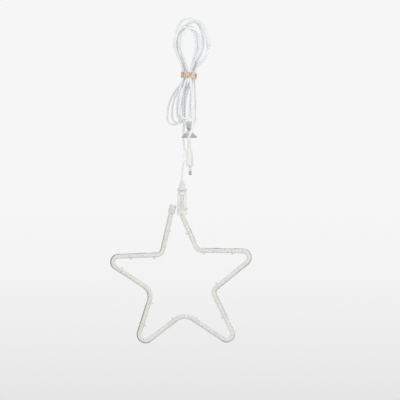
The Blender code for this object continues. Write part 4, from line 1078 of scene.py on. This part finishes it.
# Clear plastics: colour, painted shade colour at the edge, roughness, cover, and the ripple's strength, scale
# and depth
rope_clear = clear_finish("clear_rope_pvc", (0.915, 0.925, 0.89), (0.66, 0.67, 0.635), 0.14, (0.38, 0.90),
                          (0.12, 160.0, 0.0004), rope_tint)
tie_nylon = clear_finish("clear_nylon", (0.94, 0.95, 0.92), (0.82, 0.83, 0.80), 0.22, (0.36, 0.62),
                         (0.15, 400.0, 0.0002))
cap_clear = clear_finish("clear_cap_pvc", (0.89, 0.90, 0.87), (0.56, 0.57, 0.55), 0.16, (0.64, 0.92),
                         (0.12, 200.0, 0.0003))
sleeve_clear = clear_finish("clear_sleeve_pvc", (0.97, 0.975, 0.95), (0.90, 0.91, 0.88), 0.08, (0.14, 0.52),
                            (0.10, 120.0, 0.0003), sleeve_tint)
grip_pvc = moulded_finish("grip_pvc", (0.77, 0.775, 0.77), 0.42)
block_pvc = moulded_finish("block_pvc", (0.93, 0.93, 0.91), 0.35)
gland_pvc = moulded_finish("gland_pvc", (0.97, 0.975, 0.93), 0.40)
plug_pvc = moulded_finish("plug_pvc", (0.815, 0.825, 0.785), 0.45)
sleeve_pvc = moulded_finish("pin_sleeve_pvc", (0.80, 0.81, 0.80), 0.35)
steel = drawn_wire_finish("steel_wire", (0.46, 0.46, 0.44), (0.78, 0.78, 0.76), 0.42, places=wire_places)
tinned = drawn_wire_finish("tinned_strands", (0.72, 0.71, 0.67), (0.86, 0.85, 0.82), 0.35, metallic=0.3)
nickel = plated_finish("nickel_plate", (0.42, 0.41, 0.38), (0.20, 0.19, 0.17))
contact_nickel = plated_finish("contact_nickel", (0.34, 0.33, 0.30), (0.16, 0.15, 0.13))

make_rope(rope_clear)
make_bus_wires(tinned)
make_lamps(lens_finish(), tinned)
make_star_wire(steel)
make_ties(tie_nylon)
make_end_tie(tie_nylon)
make_cap(cap_clear)
make_connector(sleeve_clear, gland_pvc, grip_pvc, block_pvc, contact_nickel)
cord, cord_line, cord_length = make_cord(cord_finish())
make_foil_tie(foil_finish())
plug_pieces = make_plug(plug_pvc, nickel, sleeve_pvc)
make_cup(cup_finish())


# Stage, light and camera

BACKGROUND_HIGH = (0.922, 0.922, 0.922)
BACKGROUND_LOW = (0.784, 0.784, 0.788)
BACKGROUND_SPAN = 0.142
PLAIN_LEVEL = 0.70
FLOOR_RADIUS = 1.9
FLOOR_HEIGHT = -1.10
FLOOR_SIDES = 96
AIM = (0.02, 0, -0.33)
# Each soft box: its name, place, size and power
light_table = (
    ("key", (-1.3, -2.2, 1.1), 1.6, 21),
    ("fill", (1.9, -1.6, -0.1), 1.4, 14),
    ("rim", (0.6, 1.8, 1.4), 1.2, 10),
)


def paint_background(shading):
    """Pale to the camera, glosses and clear plastic, and a plain lower level that lights the object.

    The pale level falls with the 1.5th power of the drop below the horizon, as on a paper sweep.
    """
    shading.tree.nodes.clear()
    rays = [shading.node("LightPath", f"Is {kind} Ray") for kind in ("Camera", "Glossy", "Transmission")]
    seen = rays[0].math("MAXIMUM", rays[1]).math("MAXIMUM", rays[2])
    height = shading.node("SeparateXYZ", "Z", Vector=shading.node("TexCoord", "Generated"))
    drop = (height * (-1 / BACKGROUND_SPAN)).clamped().math("POWER", 1.5)
    red, green, blue = (high - drop * (high - low) for high, low in zip(BACKGROUND_HIGH, BACKGROUND_LOW))
    level = shading.node("CombineColor", i0=red, i1=green, i2=blue)
    pale = shading.node("Background", i0=level)
    plain = shading.node("Background", i0=(1, 1, 1, 1), i1=PLAIN_LEVEL)
    mix = shading.node("MixShader", i0=seen, i1=plain, i2=pale)
    shading.put(shading.tree.nodes.new("ShaderNodeOutputWorld").inputs[0], mix)


def area_light(name, place, size, power):
    """A square soft box turned towards the object."""
    data = bpy.data.lights.new(name, "AREA")
    data.size = size
    data.energy = power
    item = add_object(name, data)
    item.location = place
    item.rotation_euler = (Vector(AIM) - Vector(place)).to_track_quat("-Z", "Y").to_euler()


def make_floor():
    """A round pale floor, with painted shade towards the camera where the front lamps light it most, and
    faintly clouded.
    """
    ring = oval(0, 0, FLOOR_RADIUS, FLOOR_RADIUS, circle(FLOOR_SIDES))
    points = np.column_stack([ring, np.full(FLOOR_SIDES, FLOOR_HEIGHT)])
    mesh = bpy.data.meshes.new("floor")
    mesh.from_pydata(points.tolist(), [], [list(range(FLOOR_SIDES))])
    f = Finish("pale_floor", (0.86, 0.86, 0.86), 0.7)
    # Painted shade towards the front, offsetting the pool of light from the key and fill lamps
    to_the_back = f.ranged(f.along("Y"), -1.1, 0.7) + f.noise(3.0, 3.0) * 0.06
    f.feed("Base Color", f.blend(to_the_back.clamped(), (0.64, 0.64, 0.64), (0.86, 0.86, 0.86)))
    mesh.materials.append(f.material)
    add_object("floor", mesh)


world = bpy.data.worlds.new("studio")
world.use_nodes = True
paint_background(Shading(world.node_tree))
bpy.context.scene.world = world
for light in light_table:
    area_light(*light)
make_floor()

camera_data = bpy.data.cameras.new("camera")
camera_data.lens = 126.8
camera_data.sensor_width = 36
camera = add_object("camera", camera_data)
camera.location = (0.0202, -3.0, -0.3621)
camera.rotation_euler = (math.pi / 2, 0, 0)
bpy.context.scene.camera = camera
bpy.context.scene.view_settings.view_transform = "Standard"
